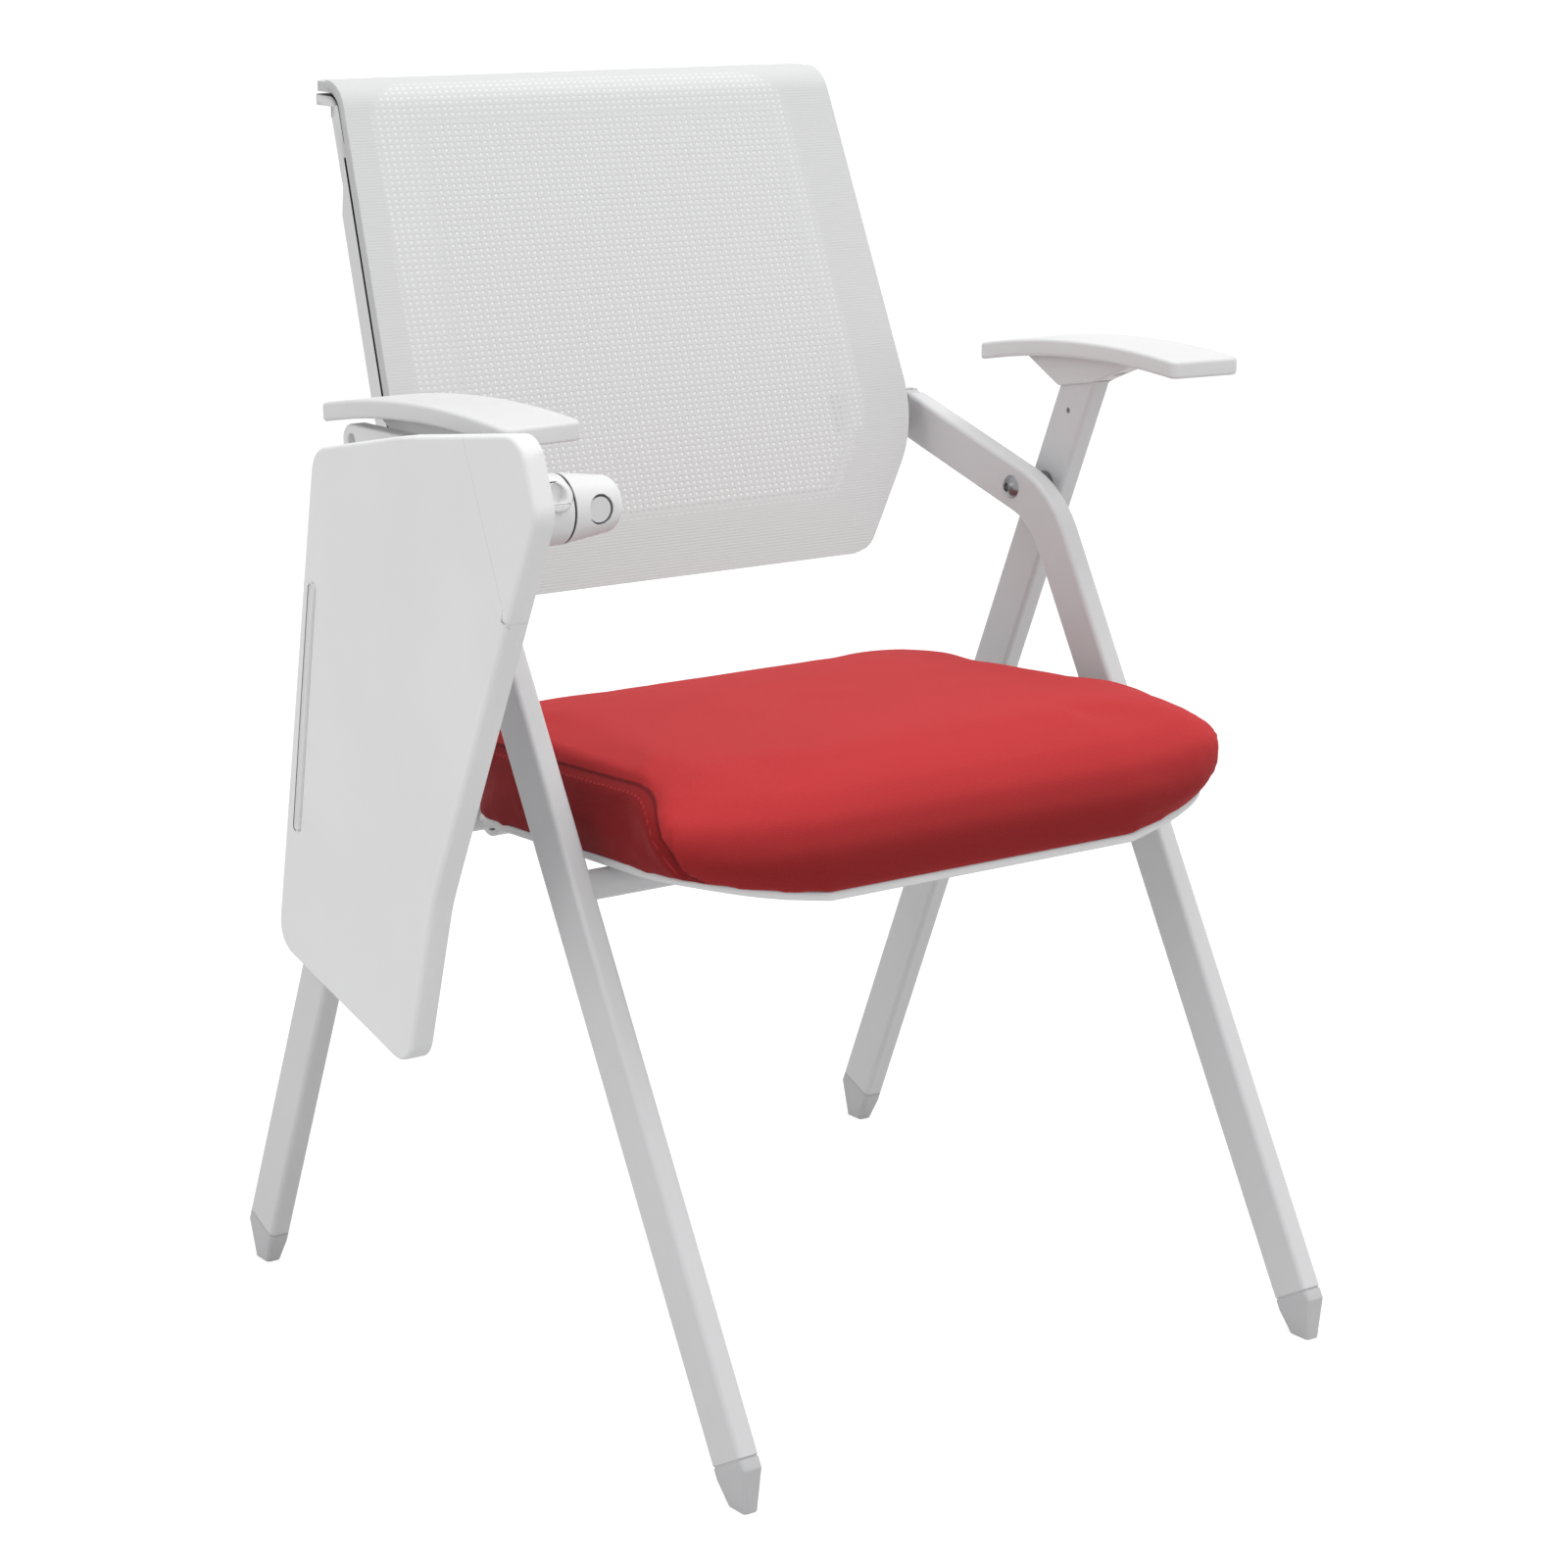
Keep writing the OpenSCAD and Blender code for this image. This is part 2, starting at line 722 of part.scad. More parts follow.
// Domed bolts through both tubes, heads on the inner face of the front tube
module pivot_bolts() {
    color(steel_shares) place() both_sides() {
        bar_x(tube_in_x, leg_out_x + nut_h - over, pivot_y, pivot_z, bolt_d);
        difference() {
            translate([tube_in_x, pivot_y, pivot_z]) rotate([0, -90, 0]) dome(bolt_head_d, bolt_head_h);
            translate([tube_in_x - bolt_head_h - over, pivot_y, pivot_z]) rotate([0, 90, 0])
                cylinder(h = socket_deep + over, d = socket_d, $fn = 6);
        }
    }
}

// A low dome on a flat base: a slice of a ball
module dome(d, h) {
    ball_r = (d * d / 4 + h * h) / (2 * h);
    intersection() {
        translate([0, 0, h - ball_r]) sphere(r = ball_r, $fn = 96);
        cylinder(h = h + over, d = d);
    }
}

module pivot_spacers() {
    color(steel_shares) place() both_sides() difference() {
        bar_x(tube_out_x, leg_in_x - run_gap, pivot_y, pivot_z, spacer_d);
        bar_x(tube_out_x - over, leg_in_x + over, pivot_y, pivot_z, bolt_d + 2 * fit);
    }
}

module pivot_nuts() {
    color(steel_shares) place() both_sides() difference() {
        translate([leg_out_x + run_gap, pivot_y, pivot_z]) rotate([0, 90, 0])
            cylinder(h = nut_h, d = nut_flats_d, $fn = 6);
        bar_x(leg_out_x - over, leg_out_x + nut_h - over + fit, pivot_y, pivot_z, bolt_d + 2 * fit);
    }
}

module rear_leg(side) {
    color(white_shares) place() on_side(side) difference() {
        rear_frame() translate([0, 0, foot_len])
            linear_extrude(height = rear_top_z / cos(rear_lean) - foot_len) tube_wall_section();
        bar_x(leg_in_x - over, leg_out_x + over, pivot_y, pivot_z, bush_d + 2 * fit);
        if (side > 0) bracket_pin_rod(bracket_pin_d + 2 * fit, over);
        if (side < 0) arm_screw_rods(small_screw_d + 2 * fit, over);
    }
}

module rear_leg_left() { rear_leg(1); }
module rear_leg_right() { rear_leg(-1); }

module rear_cross_tube() {
    color(white_shares) place() cross_tube(leg_in_x, rear_cross_y, rear_cross_z);
}

module pivot_bushes() {
    color(rubber_shares) place() both_sides() difference() {
        bar_x(leg_in_x, leg_out_x, pivot_y, pivot_z, bush_d);
        bar_x(leg_in_x - over, leg_out_x + over, pivot_y, pivot_z, bolt_d + 2 * fit);
    }
}

// Plastic sleeves on the rear cross tube, one in each hinge lug
module hinge_sleeves() {
    sleeve_d = cross_d + 2 * sleeve_wall;
    color(rubber_shares) place() both_sides() difference() {
        bar_x(hinge_x - hinge_w, hinge_x, rear_cross_y, rear_cross_z, sleeve_d);
        bar_x(hinge_x - hinge_w - over, hinge_x + over, rear_cross_y, rear_cross_z, cross_d + fit);
    }
}

// Side view of the pad's arch, as a ring between the two faces
module pad_arch(r_in, r_out, x0, x1) {
    translate([x0, -pad_peak_y, pad_arch_z]) rotate([0, 90, 0]) difference() {
        cylinder(h = x1 - x0, r = r_out, $fn = 240);
        translate([0, 0, -over]) cylinder(h = x1 - x0 + 2 * over, r = r_in, $fn = 240);
    }
}

module arm_pad_solid() {
    outline = rounded([
        [pad_in_rear_x, pad_rear_y, pad_round],
        [pad_in_front_x, -pad_front_y + pad_front_skew, pad_round],
        [pad_out_x - over, -pad_front_y, pad_round],
        [pad_out_x, pad_rear_y, pad_round]]);
    intersection() {
        translate([0, 0, pad_top_z - 4 * pad_t]) linear_extrude(height = 5 * pad_t) polygon(outline);
        pad_arch(pad_arch_r - pad_t, pad_arch_r, pad_in_front_x - over, pad_out_x + over);
    }
}

module arm_pad(side) {
    color(white_shares) place() on_side(side) difference() {
        arm_pad_solid();
        pad_screw_rods(small_screw_d + 2 * fit, -over, pad_screw_in + over);
    }
}

module arm_pad_left() { arm_pad(1); }
module arm_pad_right() { arm_pad(-1); }

// Height of the pad's lower face at depth y
function pad_low(y) = pad_arch_z + sqrt(pow(pad_arch_r - pad_t, 2) - pow(y + pad_peak_y, 2));

// Two screws hold each pad: rods from z0 to z1, measured from the pad's lower face
module pad_screw_rods(d, z0, z1) {
    for (k = [-1, 1]) {
        y = bracket_centre_y + k * pad_screw_step;
        translate([rear_x, y, pad_low(y) + z0]) cylinder(h = z1 - z0, d = d);
    }
}

// Boat-shaped bracket between the rear leg and the pad
module bracket_solid() {
    side_view = [
        [bracket_centre_y - bracket_top_len / 2, pad_top_z - pad_t],
        [bracket_centre_y - bracket_top_len / 2, pad_top_z - pad_t - bracket_end_t],
        [bracket_centre_y - bracket_base_half, bracket_z + bracket_rise],
        [bracket_centre_y + bracket_base_half, bracket_z],
        [bracket_centre_y + bracket_top_len / 2, pad_top_z - pad_t - bracket_end_t],
        [bracket_centre_y + bracket_top_len / 2, pad_top_z - pad_t]];
    intersection() {
        translate([rear_x - bracket_w / 2, 0, 0]) rotate([90, 0, 90]) linear_extrude(height = bracket_w)
            polygon(side_view);
        translate([0, -pad_peak_y, pad_arch_z]) rotate([0, 90, 0])
            cylinder(h = pad_out_x, r = pad_arch_r - pad_t, $fn = 240);
    }
}

module arm_bracket(side) {
    leg_len = rear_top_z / cos(rear_lean);
    color(white_shares) place() on_side(side) difference() {
        union() {
            difference() {
                bracket_solid();
                rear_frame() tube_run(leg_len + fit, fit);
            }
            rear_frame() translate([0, 0, leg_len - plug_len])
                tube_run(plug_len + over, -tube_wall - plug_gap);
        }
        pad_screw_rods(small_screw_d + 2 * fit, -pad_screw_grip - over, over);
        pad_screw_rods(small_head_d + 2 * fit, -bracket_top_len, -pad_screw_grip);
        if (side > 0) bracket_pin_rod(bracket_pin_d + 2 * fit, over);
        if (side < 0) arm_screw_rods(small_screw_d + 2 * fit, over);
    }
}

module arm_bracket_left() { arm_bracket(1); }
module arm_bracket_right() { arm_bracket(-1); }

module arm_pad_screws() {
    color(steel_shares) place() both_sides() {
        pad_screw_rods(small_screw_d, -pad_screw_grip, pad_screw_in);
        pad_screw_rods(small_head_d, -pad_screw_grip - small_head_h, -pad_screw_grip);
    }
}

// A cross pin holds the left bracket's plug in its leg, set in from both faces
module bracket_pin_rod(d, more) {
    pin_y = foot_y - bracket_screw_z * tan(rear_lean);
    bar_x(leg_in_x - more, leg_out_x + more, pin_y, bracket_screw_z, d);
}

module bracket_screw() {
    color(steel_shares) place() bracket_pin_rod(bracket_pin_d, -over);
}

// Cast arm on the right rear leg that carries the tablet joint
module tablet_arm() {
    color(white_shares) place() on_side(-1) difference() {
        union() {
            translate([arm_in_x, 0, 0]) rotate([90, 0, 90]) linear_extrude(height = arm_t) arm_side_view();
            translate([flip_x, -arm_boss_y, joint_z]) rotate([-90, 0, 0])
                cylinder(h = arm_boss_len, r = arm_boss_r);
            translate([flip_x, -arm_boss_y + arm_boss_len - arm_web_t, joint_z - arm_boss_r])
                cube([arm_in_x + arm_t - flip_x, arm_web_t, 2 * arm_boss_r]);
        }
        flip_rod(flip_pin_d + 2 * fit, over);
        arm_screw_rods(small_screw_d + 2 * fit, over);
        bar_x(arm_in_x - over, arm_in_x + arm_t + over, arm_rear_y, arm_top_z - arm_rear_r, small_head_d);
    }
}

module arm_side_view() {
    front_y = -arm_boss_y + arm_boss_len - arm_web_t;
    polygon([
        [front_y, joint_z - arm_boss_r],
        [front_y, joint_z + arm_boss_r],
        [front_y + arm_web_t, arm_top_z],
        [arm_rear_y, arm_top_z],
        [arm_rear_y, arm_top_z - 2 * arm_rear_r],
        [bracket_centre_y + tube_d / 2, arm_low_z],
        [bracket_centre_y - tube_d / 2, arm_low_z],
        [front_y + 2 * arm_web_t, joint_z - arm_boss_r]]);
    translate([arm_rear_y, arm_top_z - arm_rear_r]) circle(r = arm_rear_r);
}

// The flip pin's place, as a rod along Y from the boss's rear face to the block's front
module flip_rod(d, more) {
    translate([flip_x, -arm_boss_y + arm_boss_len + more, joint_z]) rotate([90, 0, 0])
        cylinder(h = flip_pin_len() + more, d = d);
}

function flip_pin_len() = joint_y - arm_boss_y + arm_boss_len + flip_pin_front;

module flip_pin() {
    color(steel_shares) place() on_side(-1) flip_rod(flip_pin_d, 0);
}

// Two screws hold the tablet arm on the leg
module arm_screw_rods(d, more) {
    for (k = [0, 1]) {
        screw_z = arm_screw_z + k * arm_screw_step;
        screw_y = foot_y - screw_z * tan(rear_lean);
        bar_x(leg_in_x - more, arm_in_x + arm_t + more, screw_y, screw_z, d);
    }
}

module tablet_arm_screws() {
    color(steel_shares) place() on_side(-1) {
        arm_screw_rods(small_screw_d, 0);
        for (k = [0, 1]) {
            screw_z = arm_screw_z + k * arm_screw_step;
            screw_y = foot_y - screw_z * tan(rear_lean);
            bar_x(leg_in_x - small_head_h, leg_in_x, screw_y, screw_z, small_head_d);
        }
    }
}

// Seat frame: X across, Y backwards, Z up from the seat's base
module seat_frame() {
    translate([0, 0, seat_z]) rotate([-seat_tilt, 0, 0]) children();
}

function seat_half_at(y) = seat_half - seat_flare_share * y;

// Sine and cosine drawn towards the corners of a rounded rectangle
function squared(value) = sign(value) * pow(abs(value), 2 / seat_corner_n);

// Point of the seat's rim at angle a, drawn in by inset
function seat_rim(a, inset) =
    let (
        half_len = (seat_rear_y + seat_front_y) / 2 - inset,
        mid = (seat_rear_y - seat_front_y) / 2,
        y0 = mid + half_len * squared(sin(a)),
        x0 = (seat_half_at(y0) - inset) * squared(cos(a)),
        bow = seat_bow * pow(x0 / seat_half_at(y0), 2) * smooth((mid - y0) / half_len)
    )
    [x0, y0 + bow];

// Height of the pan's upper face, which drops at the nose
function seat_floor(x, y) =
    let (t = clamped((-nose_from - y) / (seat_front_y - nose_from)))
    -nose_drop * t * t * (1 - pow(clamped(abs(x) / seat_half_at(y)), 4));

function frontness(y) = smooth((-y - front_blend_from) / (front_blend_to - front_blend_from));

function cushion_height(y) =
    cushion_h - cushion_front_loss * smooth((seat_rear_y - y) / (seat_rear_y + seat_front_y));

// Swell of the cushion at its two front corners, as a share of its bulge
function corner_swell(x, y) =
    1 + corner_swell_share * frontness(y) * pow(clamped(abs(x) / seat_half_at(y)), 6);

function cushion_ring(k) = [for (i = [0:seat_steps - 1])
    let (
        a = 360 * (i + 0.5) / seat_steps,
        rim = seat_rim(a, 0),
        f = frontness(rim[1]),
        in = side_in[k] * (1 - f) + front_in[k] * f,
        p = seat_rim(a, in < 0 ? in * corner_swell(rim[0], rim[1]) : in),
        share = side_up_shares[k] * (1 - f) + front_up_shares[k] * f,
        low = seat_floor(rim[0], rim[1])
    )
    [p[0], p[1], low + (cushion_height(p[1]) - low) * share + (k == 0 ? cushion_gap : 0)]];

// Top of the cushion: the last side ring drawn in towards the middle by a share
function cushion_top_ring(share) =
    let (edge = cushion_ring(len(side_in) - 1))
    [for (p = edge)
        let (x = p[0] * share, y = -seat_mid_y + (p[1] + seat_mid_y) * share, lift = 1 - share * share)
        [x, y, p[2] * share + (cushion_height(y) + cushion_crown) * (1 - share)
            + cushion_crown * lift * share]];

// The underside drawn in to the board's recess
function cushion_under_ring(share) = [for (i = [0:seat_steps - 1])
    let (
        p = seat_rim(360 * (i + 0.5) / seat_steps, 0),
        x = p[0] * share,
        y = -seat_mid_y + (p[1] + seat_mid_y) * share
    )
    [x, y, seat_floor(x, y) + cushion_gap]];

// Two triangles for each step between two rings; the first ones are split the other way
function ring_faces(rings, steps, turned) = [for (k = [0:rings - 2], i = [0:steps - 1])
    let (a = k * steps + i, b = k * steps + (i + 1) % steps)
    each k < turned
        ? [[a, b, b + steps], [a, b + steps, a + steps]]
        : [[a, b, a + steps], [b, b + steps, a + steps]]];

// Closed skin through rings that run from the lower middle, out, up and in to the upper middle
module ring_solid(rings, low, high, turned = 0) {
    steps = len(rings[0]);
    n = len(rings);
    points = concat([for (r = rings) each r], [low, high]);
    caps = [for (i = [0:steps - 1])
        let (j = (i + 1) % steps)
        each [[n * steps, j, i], [n * steps + 1, (n - 1) * steps + i, (n - 1) * steps + j]]];
    polyhedron(points = points,
        faces = [for (f = concat(ring_faces(n, steps, turned), caps)) [f[2], f[1], f[0]]]);
}

module seat_cushion() {
    rings = concat(
        [for (k = [len(pan_rings_shares) - 1:-1:0]) cushion_under_ring(pan_rings_shares[k])],
        [for (k = [0:len(side_in) - 1]) cushion_ring(k)],
        [for (share = seat_rings_shares) cushion_top_ring(share)]);
    top_z = cushion_height(-seat_mid_y) + cushion_crown;
    color(red_shares) place() seat_frame() difference() {
        ring_solid(rings, [0, -seat_mid_y, cushion_gap], [0, -seat_mid_y, top_z + cushion_crown / 4],
            len(pan_rings_shares));
        board_solid(fit, over);
    }
}

// Board inside the foam, on the flat part of the pan
module board_solid(more, low) {
    mid_y = (seat_rear_y - nose_from) / 2;
    size_y = seat_rear_y + nose_from - 2 * board_in + 2 * more;
    half = seat_half_at(seat_rear_y) - board_in + more;
    translate([-half, mid_y - size_y / 2, cushion_gap - low]) cube([2 * half, size_y, board_t + more + low]);
}

module seat_board() {
    color(wood_shares) place() seat_frame() board_solid(0, 0);
}

function pan_ring(share, drop) = [for (i = [0:seat_steps - 1])
    let (
        p = seat_rim(360 * (i + 0.5) / seat_steps, share == 1 ? -pan_lip + (drop == 0 ? pan_lip : 0) : 0),
        x = p[0] * share,
        y = -seat_mid_y + (p[1] + seat_mid_y) * share
    )
    [x, y, seat_floor(x, y) - drop]];

module seat_pan() {
    rings = concat(
        [for (k = [len(pan_rings_shares) - 1:-1:0]) pan_ring(pan_rings_shares[k], pan_t)],
        [pan_ring(1, pan_t), pan_ring(1, pan_t / 2), pan_ring(1, 0)],
        [for (share = pan_rings_shares) pan_ring(share, 0)]);
    color(white_shares) place() seat_frame()
        ring_solid(rings, [0, -seat_mid_y, -pan_t], [0, -seat_mid_y, 0]);
}

// Lugs under the pan that turn on the sleeves of the rear cross tube
module hinge_lugs() {
    bore_d = cross_d + 2 * sleeve_wall + 2 * fit;
    color(white_shares) place() both_sides() difference() {
        union() {
            bar_x(hinge_x - hinge_w, hinge_x, rear_cross_y, rear_cross_z, bore_d + 2 * lug_wall);
            seat_frame()
                translate([hinge_x - hinge_w, rear_cross_y - bore_d / 2 - lug_reach, -pan_t - lug_arm_t])
                    cube([hinge_w, lug_reach, lug_arm_t]);
        }
        bar_x(hinge_x - hinge_w - over, hinge_x + over, rear_cross_y, rear_cross_z, bore_d);
        seat_frame() lug_screw_rods(-pan_t - lug_arm_t - over, -pan_t + over, small_screw_d + 2 * fit);
    }
}

// Two screws from below hold each lug: rods from height z0 to z1 in the seat's frame
module lug_screw_rods(z0, z1, d) {
    for (k = [1, 3])
        translate([hinge_x - hinge_w / 2, rear_cross_y - cross_d - k * lug_reach / 4, z0])
            cylinder(h = z1 - z0, d = d);
}

module hinge_lug_screws() {
    head_z = -pan_t - lug_arm_t;
    color(steel_shares) place() both_sides() seat_frame() {
        lug_screw_rods(head_z - small_head_h, head_z, small_head_d);
        lug_screw_rods(head_z, -pan_t, small_screw_d);
    }
}

// Rubber pads under the pan that rest on the front cross tube
module seat_bumpers() {
    tube_top = front_cross_z + cross_d / 2 + run_gap;
    color(rubber_shares) place() both_sides() difference() {
        seat_frame()
            translate([bumper_x - bumper_w / 2, front_cross_y - bumper_d / 2, -pan_t - fit - cross_d / 2])
                cube([bumper_w, bumper_d, cross_d / 2]);
        translate([0, front_cross_y - bumper_d, 0]) cube([seat_half, 2 * bumper_d, tube_top]);
    }
}

// Tapered block with a rounded end, drawn as a turned outline about X
module flip_block() {
    color(white_shares) place() on_side(-1) difference() {
        translate([0, -joint_y, joint_z]) rotate([0, 90, 0])
            rotate_extrude($fn = 96) polygon(block_outline());
        flip_rod(flip_pin_d + 2 * fit, 2 * joint_r);
        translate([flip_x, -joint_y - joint_r + cap_deep, joint_z]) rotate([90, 0, 0])
            cylinder(h = joint_r, d = flip_cap_d + 2 * run_gap);
        translate([flip_x, 0, joint_z]) rotate([90, 0, 0])
            cylinder(h = arm_boss_y + block_gap, r = 2 * joint_r);
        bar_x(flip_x, split_x + over, -joint_y, joint_z, swing_shaft_d + 2 * fit);
    }
}

function block_outline() =
    let (round = joint_end_r / 2, steps = 6)
    concat([[0, block_end_x]],
        [for (i = [0:steps]) let (a = 90 * i / steps)
            [joint_end_r - round + round * sin(a), block_end_x + round - round * cos(a)]],
        [[joint_r, split_x - washer_t], [0, split_x - washer_t]]);

// The cap lies set back in its bore
module flip_cap() {
    color(white_shares) place() on_side(-1)
        translate([flip_x, -joint_y - joint_r + cap_deep - fit, joint_z]) rotate([90, 0, 0])
            cylinder(h = cap_t, d = flip_cap_d);
}

module swing_washer() {
    color(rubber_shares) place() on_side(-1) difference() {
        bar_x(split_x - washer_t + fit, split_x - fit, -joint_y, joint_z, 2 * joint_r - over);
        bar_x(split_x - over, split_x + over, -joint_y, joint_z, swing_shaft_d + 2 * fit);
    }
}

module swing_shaft() {
    color(steel_shares) place() on_side(-1)
        bar_x(flip_x + flip_pin_d / 2 + over, tablet_in_x - over, -joint_y, joint_z, swing_shaft_d);
}

module swing_nut() {
    color(steel_shares) place() on_side(-1) difference() {
        bar_x(flange_x + nut_inset, tablet_in_x - fit, -joint_y, joint_z, 2 * swing_shaft_d);
        bar_x(split_x, tablet_in_x + over, -joint_y, joint_z, swing_shaft_d + 2 * fit);
    }
}

// Outer half of the joint, which turns with the tablet
module swing_rotor() {
    color(white_shares) place() on_side(-1) difference() {
        union() {
            bar_x(split_x, flange_x, -joint_y, joint_z, 2 * joint_r);
            intersection() {
                rotor_ear(0, ear_r);
                bar_x(split_x, flange_x, -joint_y, joint_z, 2 * (joint_r + ear_reach));
            }
        }
        bar_x(split_x - over, flange_x + over, -joint_y, joint_z, swing_shaft_d + 2 * fit);
        rotor_ear(pocket_floor, pocket_d / 2);
    }
}

// Rod forwards along Y on the rotor's upper front, from a distance before the joint's middle
module rotor_ear(from, r) {
    translate([split_x + ear_in, -joint_y - from, joint_z + ear_up]) rotate([90, 0, 0])
        cylinder(h = 2 * joint_r, r = r);
}

// Plate between the rotor and the tablet, screwed under the tablet
module rotor_plate() {
    color(white_shares) place() on_side(-1) difference() {
        translate([flange_x, -joint_y - flange_half_y, joint_z - flange_half_z])
            cube([flange_plate_t, 2 * flange_half_y, 2 * flange_half_z]);
        bar_x(flange_x - over, tablet_in_x, -joint_y, joint_z, swing_shaft_d + 2 * fit);
        bar_x(flange_x + nut_inset, tablet_in_x, -joint_y, joint_z, 2 * swing_shaft_d + 2 * fit);
        flange_screw_rods(flange_x - over, flange_plate_t + 2 * over, small_screw_d + 2 * fit);
    }
}

module flange_screw_rods(x, len, d) {
    for (sy = [-1, 1], sz = [-1, 1])
        bar_x(x, x + len, -joint_y + sy * (flange_half_y - flange_screw_in),
            joint_z + sz * (flange_half_z - flange_screw_in), d);
}

module tablet_screws() {
    color(steel_shares) place() on_side(-1) {
        flange_screw_rods(flange_x - small_head_h, small_head_h, small_head_d);
        flange_screw_rods(flange_x, flange_plate_t + fit, small_screw_d);
    }
}

tablet_corners = [
    [tablet_rear_back, tablet_rear_up, tablet_round],
    [tablet_top_back, tablet_top_up, tablet_waist_round],
    [tablet_front_back, tablet_front_up, tablet_round],
    [tablet_knee_back, tablet_knee_up, tablet_round],
    [tablet_waist_back, tablet_waist_up, tablet_waist_round],
    [tablet_tip_back, tablet_tip_up, tablet_round],
    [tablet_low_back, tablet_low_up, tablet_round]];

module tablet_slab(x, t, d) {
    translate([x, -joint_y, joint_z]) rotate([90, 0, 90]) linear_extrude(height = t)
        polygon(rounded(inset(tablet_corners, d)));
}

module tablet_tray() {
    groove_run = [groove_top_back - groove_low_back, groove_top_up - groove_low_up];
    groove_len = norm(groove_run);
    groove_lean = atan2(groove_run[1], groove_run[0]);
    color(white_shares) place() on_side(-1) difference() {
        tablet_slab(tablet_in_x, tablet_t, 0);
        tablet_slab(tablet_in_x - over, tablet_t - tray_wall + over, tray_wall);
        translate([tablet_x - groove_deep, groove_low_back - joint_y, groove_low_up + joint_z])
            rotate([90, 0, 90]) rotate([0, 0, groove_lean]) linear_extrude(height = groove_deep + over) {
                circle(d = groove_w);
                translate([groove_len, 0]) circle(d = groove_w);
                translate([0, -groove_w / 2]) square([groove_len, groove_w]);
            }
        tablet_crease();
    }
}

// The outer face falls away in front of a slanting crease beside the joint
module tablet_crease() {
    run = [crease_back - crease_low_back, crease_up - crease_low_up];
    translate([tablet_x, crease_low_back - joint_y, crease_low_up + joint_z])
        rotate([-atan2(run[0], run[1]), 0, -crease_slope])
            translate([0, -tablet_waist_round, -tablet_waist_round])
                cube([tablet_t, tablet_waist_round, 3 * tablet_waist_round]);
}

module tablet_cover() {
    color(grey_shares) place() on_side(-1) tablet_slab(tablet_in_x, cover_t, cover_in);
}

front_tube_left();
front_tube_right();
front_cross_tube();
front_foot_left();
front_foot_right();
back_lug_left();
back_lug_right();
back_rear_frame();
back_mesh_frame();
back_mesh();
back_screws();
pivot_bolts();
pivot_spacers();
pivot_nuts();
rear_leg_left();
rear_leg_right();
rear_cross_tube();
rear_foot_left();
rear_foot_right();
pivot_bushes();
hinge_sleeves();
arm_bracket_left();
arm_bracket_right();
arm_pad_left();
arm_pad_right();
arm_pad_screws();
bracket_screw();
tablet_arm();
tablet_arm_screws();
flip_pin();
seat_pan();
seat_board();
seat_cushion();
hinge_lugs();
hinge_lug_screws();
seat_bumpers();
flip_block();
flip_cap();
swing_shaft();
swing_washer();
swing_rotor();
rotor_plate();
swing_nut();
tablet_tray();
tablet_cover();
tablet_screws();
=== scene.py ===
import json
import math

import bmesh
import bpy
from bpy.props import FloatProperty, FloatVectorProperty, PointerProperty
from mathutils import Matrix, Vector
from mathutils.bvhtree import BVHTree


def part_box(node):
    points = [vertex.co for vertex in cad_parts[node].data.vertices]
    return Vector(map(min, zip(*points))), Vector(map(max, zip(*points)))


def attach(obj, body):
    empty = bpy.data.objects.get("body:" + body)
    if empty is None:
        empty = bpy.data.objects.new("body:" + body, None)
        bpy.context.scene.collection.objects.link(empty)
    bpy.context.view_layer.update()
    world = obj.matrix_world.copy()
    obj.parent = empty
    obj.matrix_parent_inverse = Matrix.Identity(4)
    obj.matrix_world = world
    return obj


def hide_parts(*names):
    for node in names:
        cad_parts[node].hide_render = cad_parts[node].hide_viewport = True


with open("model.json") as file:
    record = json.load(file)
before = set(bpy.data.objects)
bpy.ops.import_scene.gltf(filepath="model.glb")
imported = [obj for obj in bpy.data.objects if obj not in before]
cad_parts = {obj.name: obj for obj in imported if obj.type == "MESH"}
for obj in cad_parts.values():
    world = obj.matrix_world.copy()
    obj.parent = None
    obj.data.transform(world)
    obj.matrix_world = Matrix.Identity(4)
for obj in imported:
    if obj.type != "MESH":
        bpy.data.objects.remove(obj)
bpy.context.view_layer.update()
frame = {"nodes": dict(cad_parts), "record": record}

bl_info = {
    "name": "Folding conference chair",
    "version": (1, 0, 0),
    "blender": (4, 5, 0),
    "location": "View3D > Sidebar > Chair",
    "description": "Dresses a folding conference chair with a mesh back and a writing tablet",
    "category": "Object",
}

NODES = frame["nodes"]

# How far the chair's own middle lies in front of the origin, in metres, and a shallow edge's angle in degrees
CHAIR_FORWARD = 0.0073766
SHALLOW_EDGE = 30


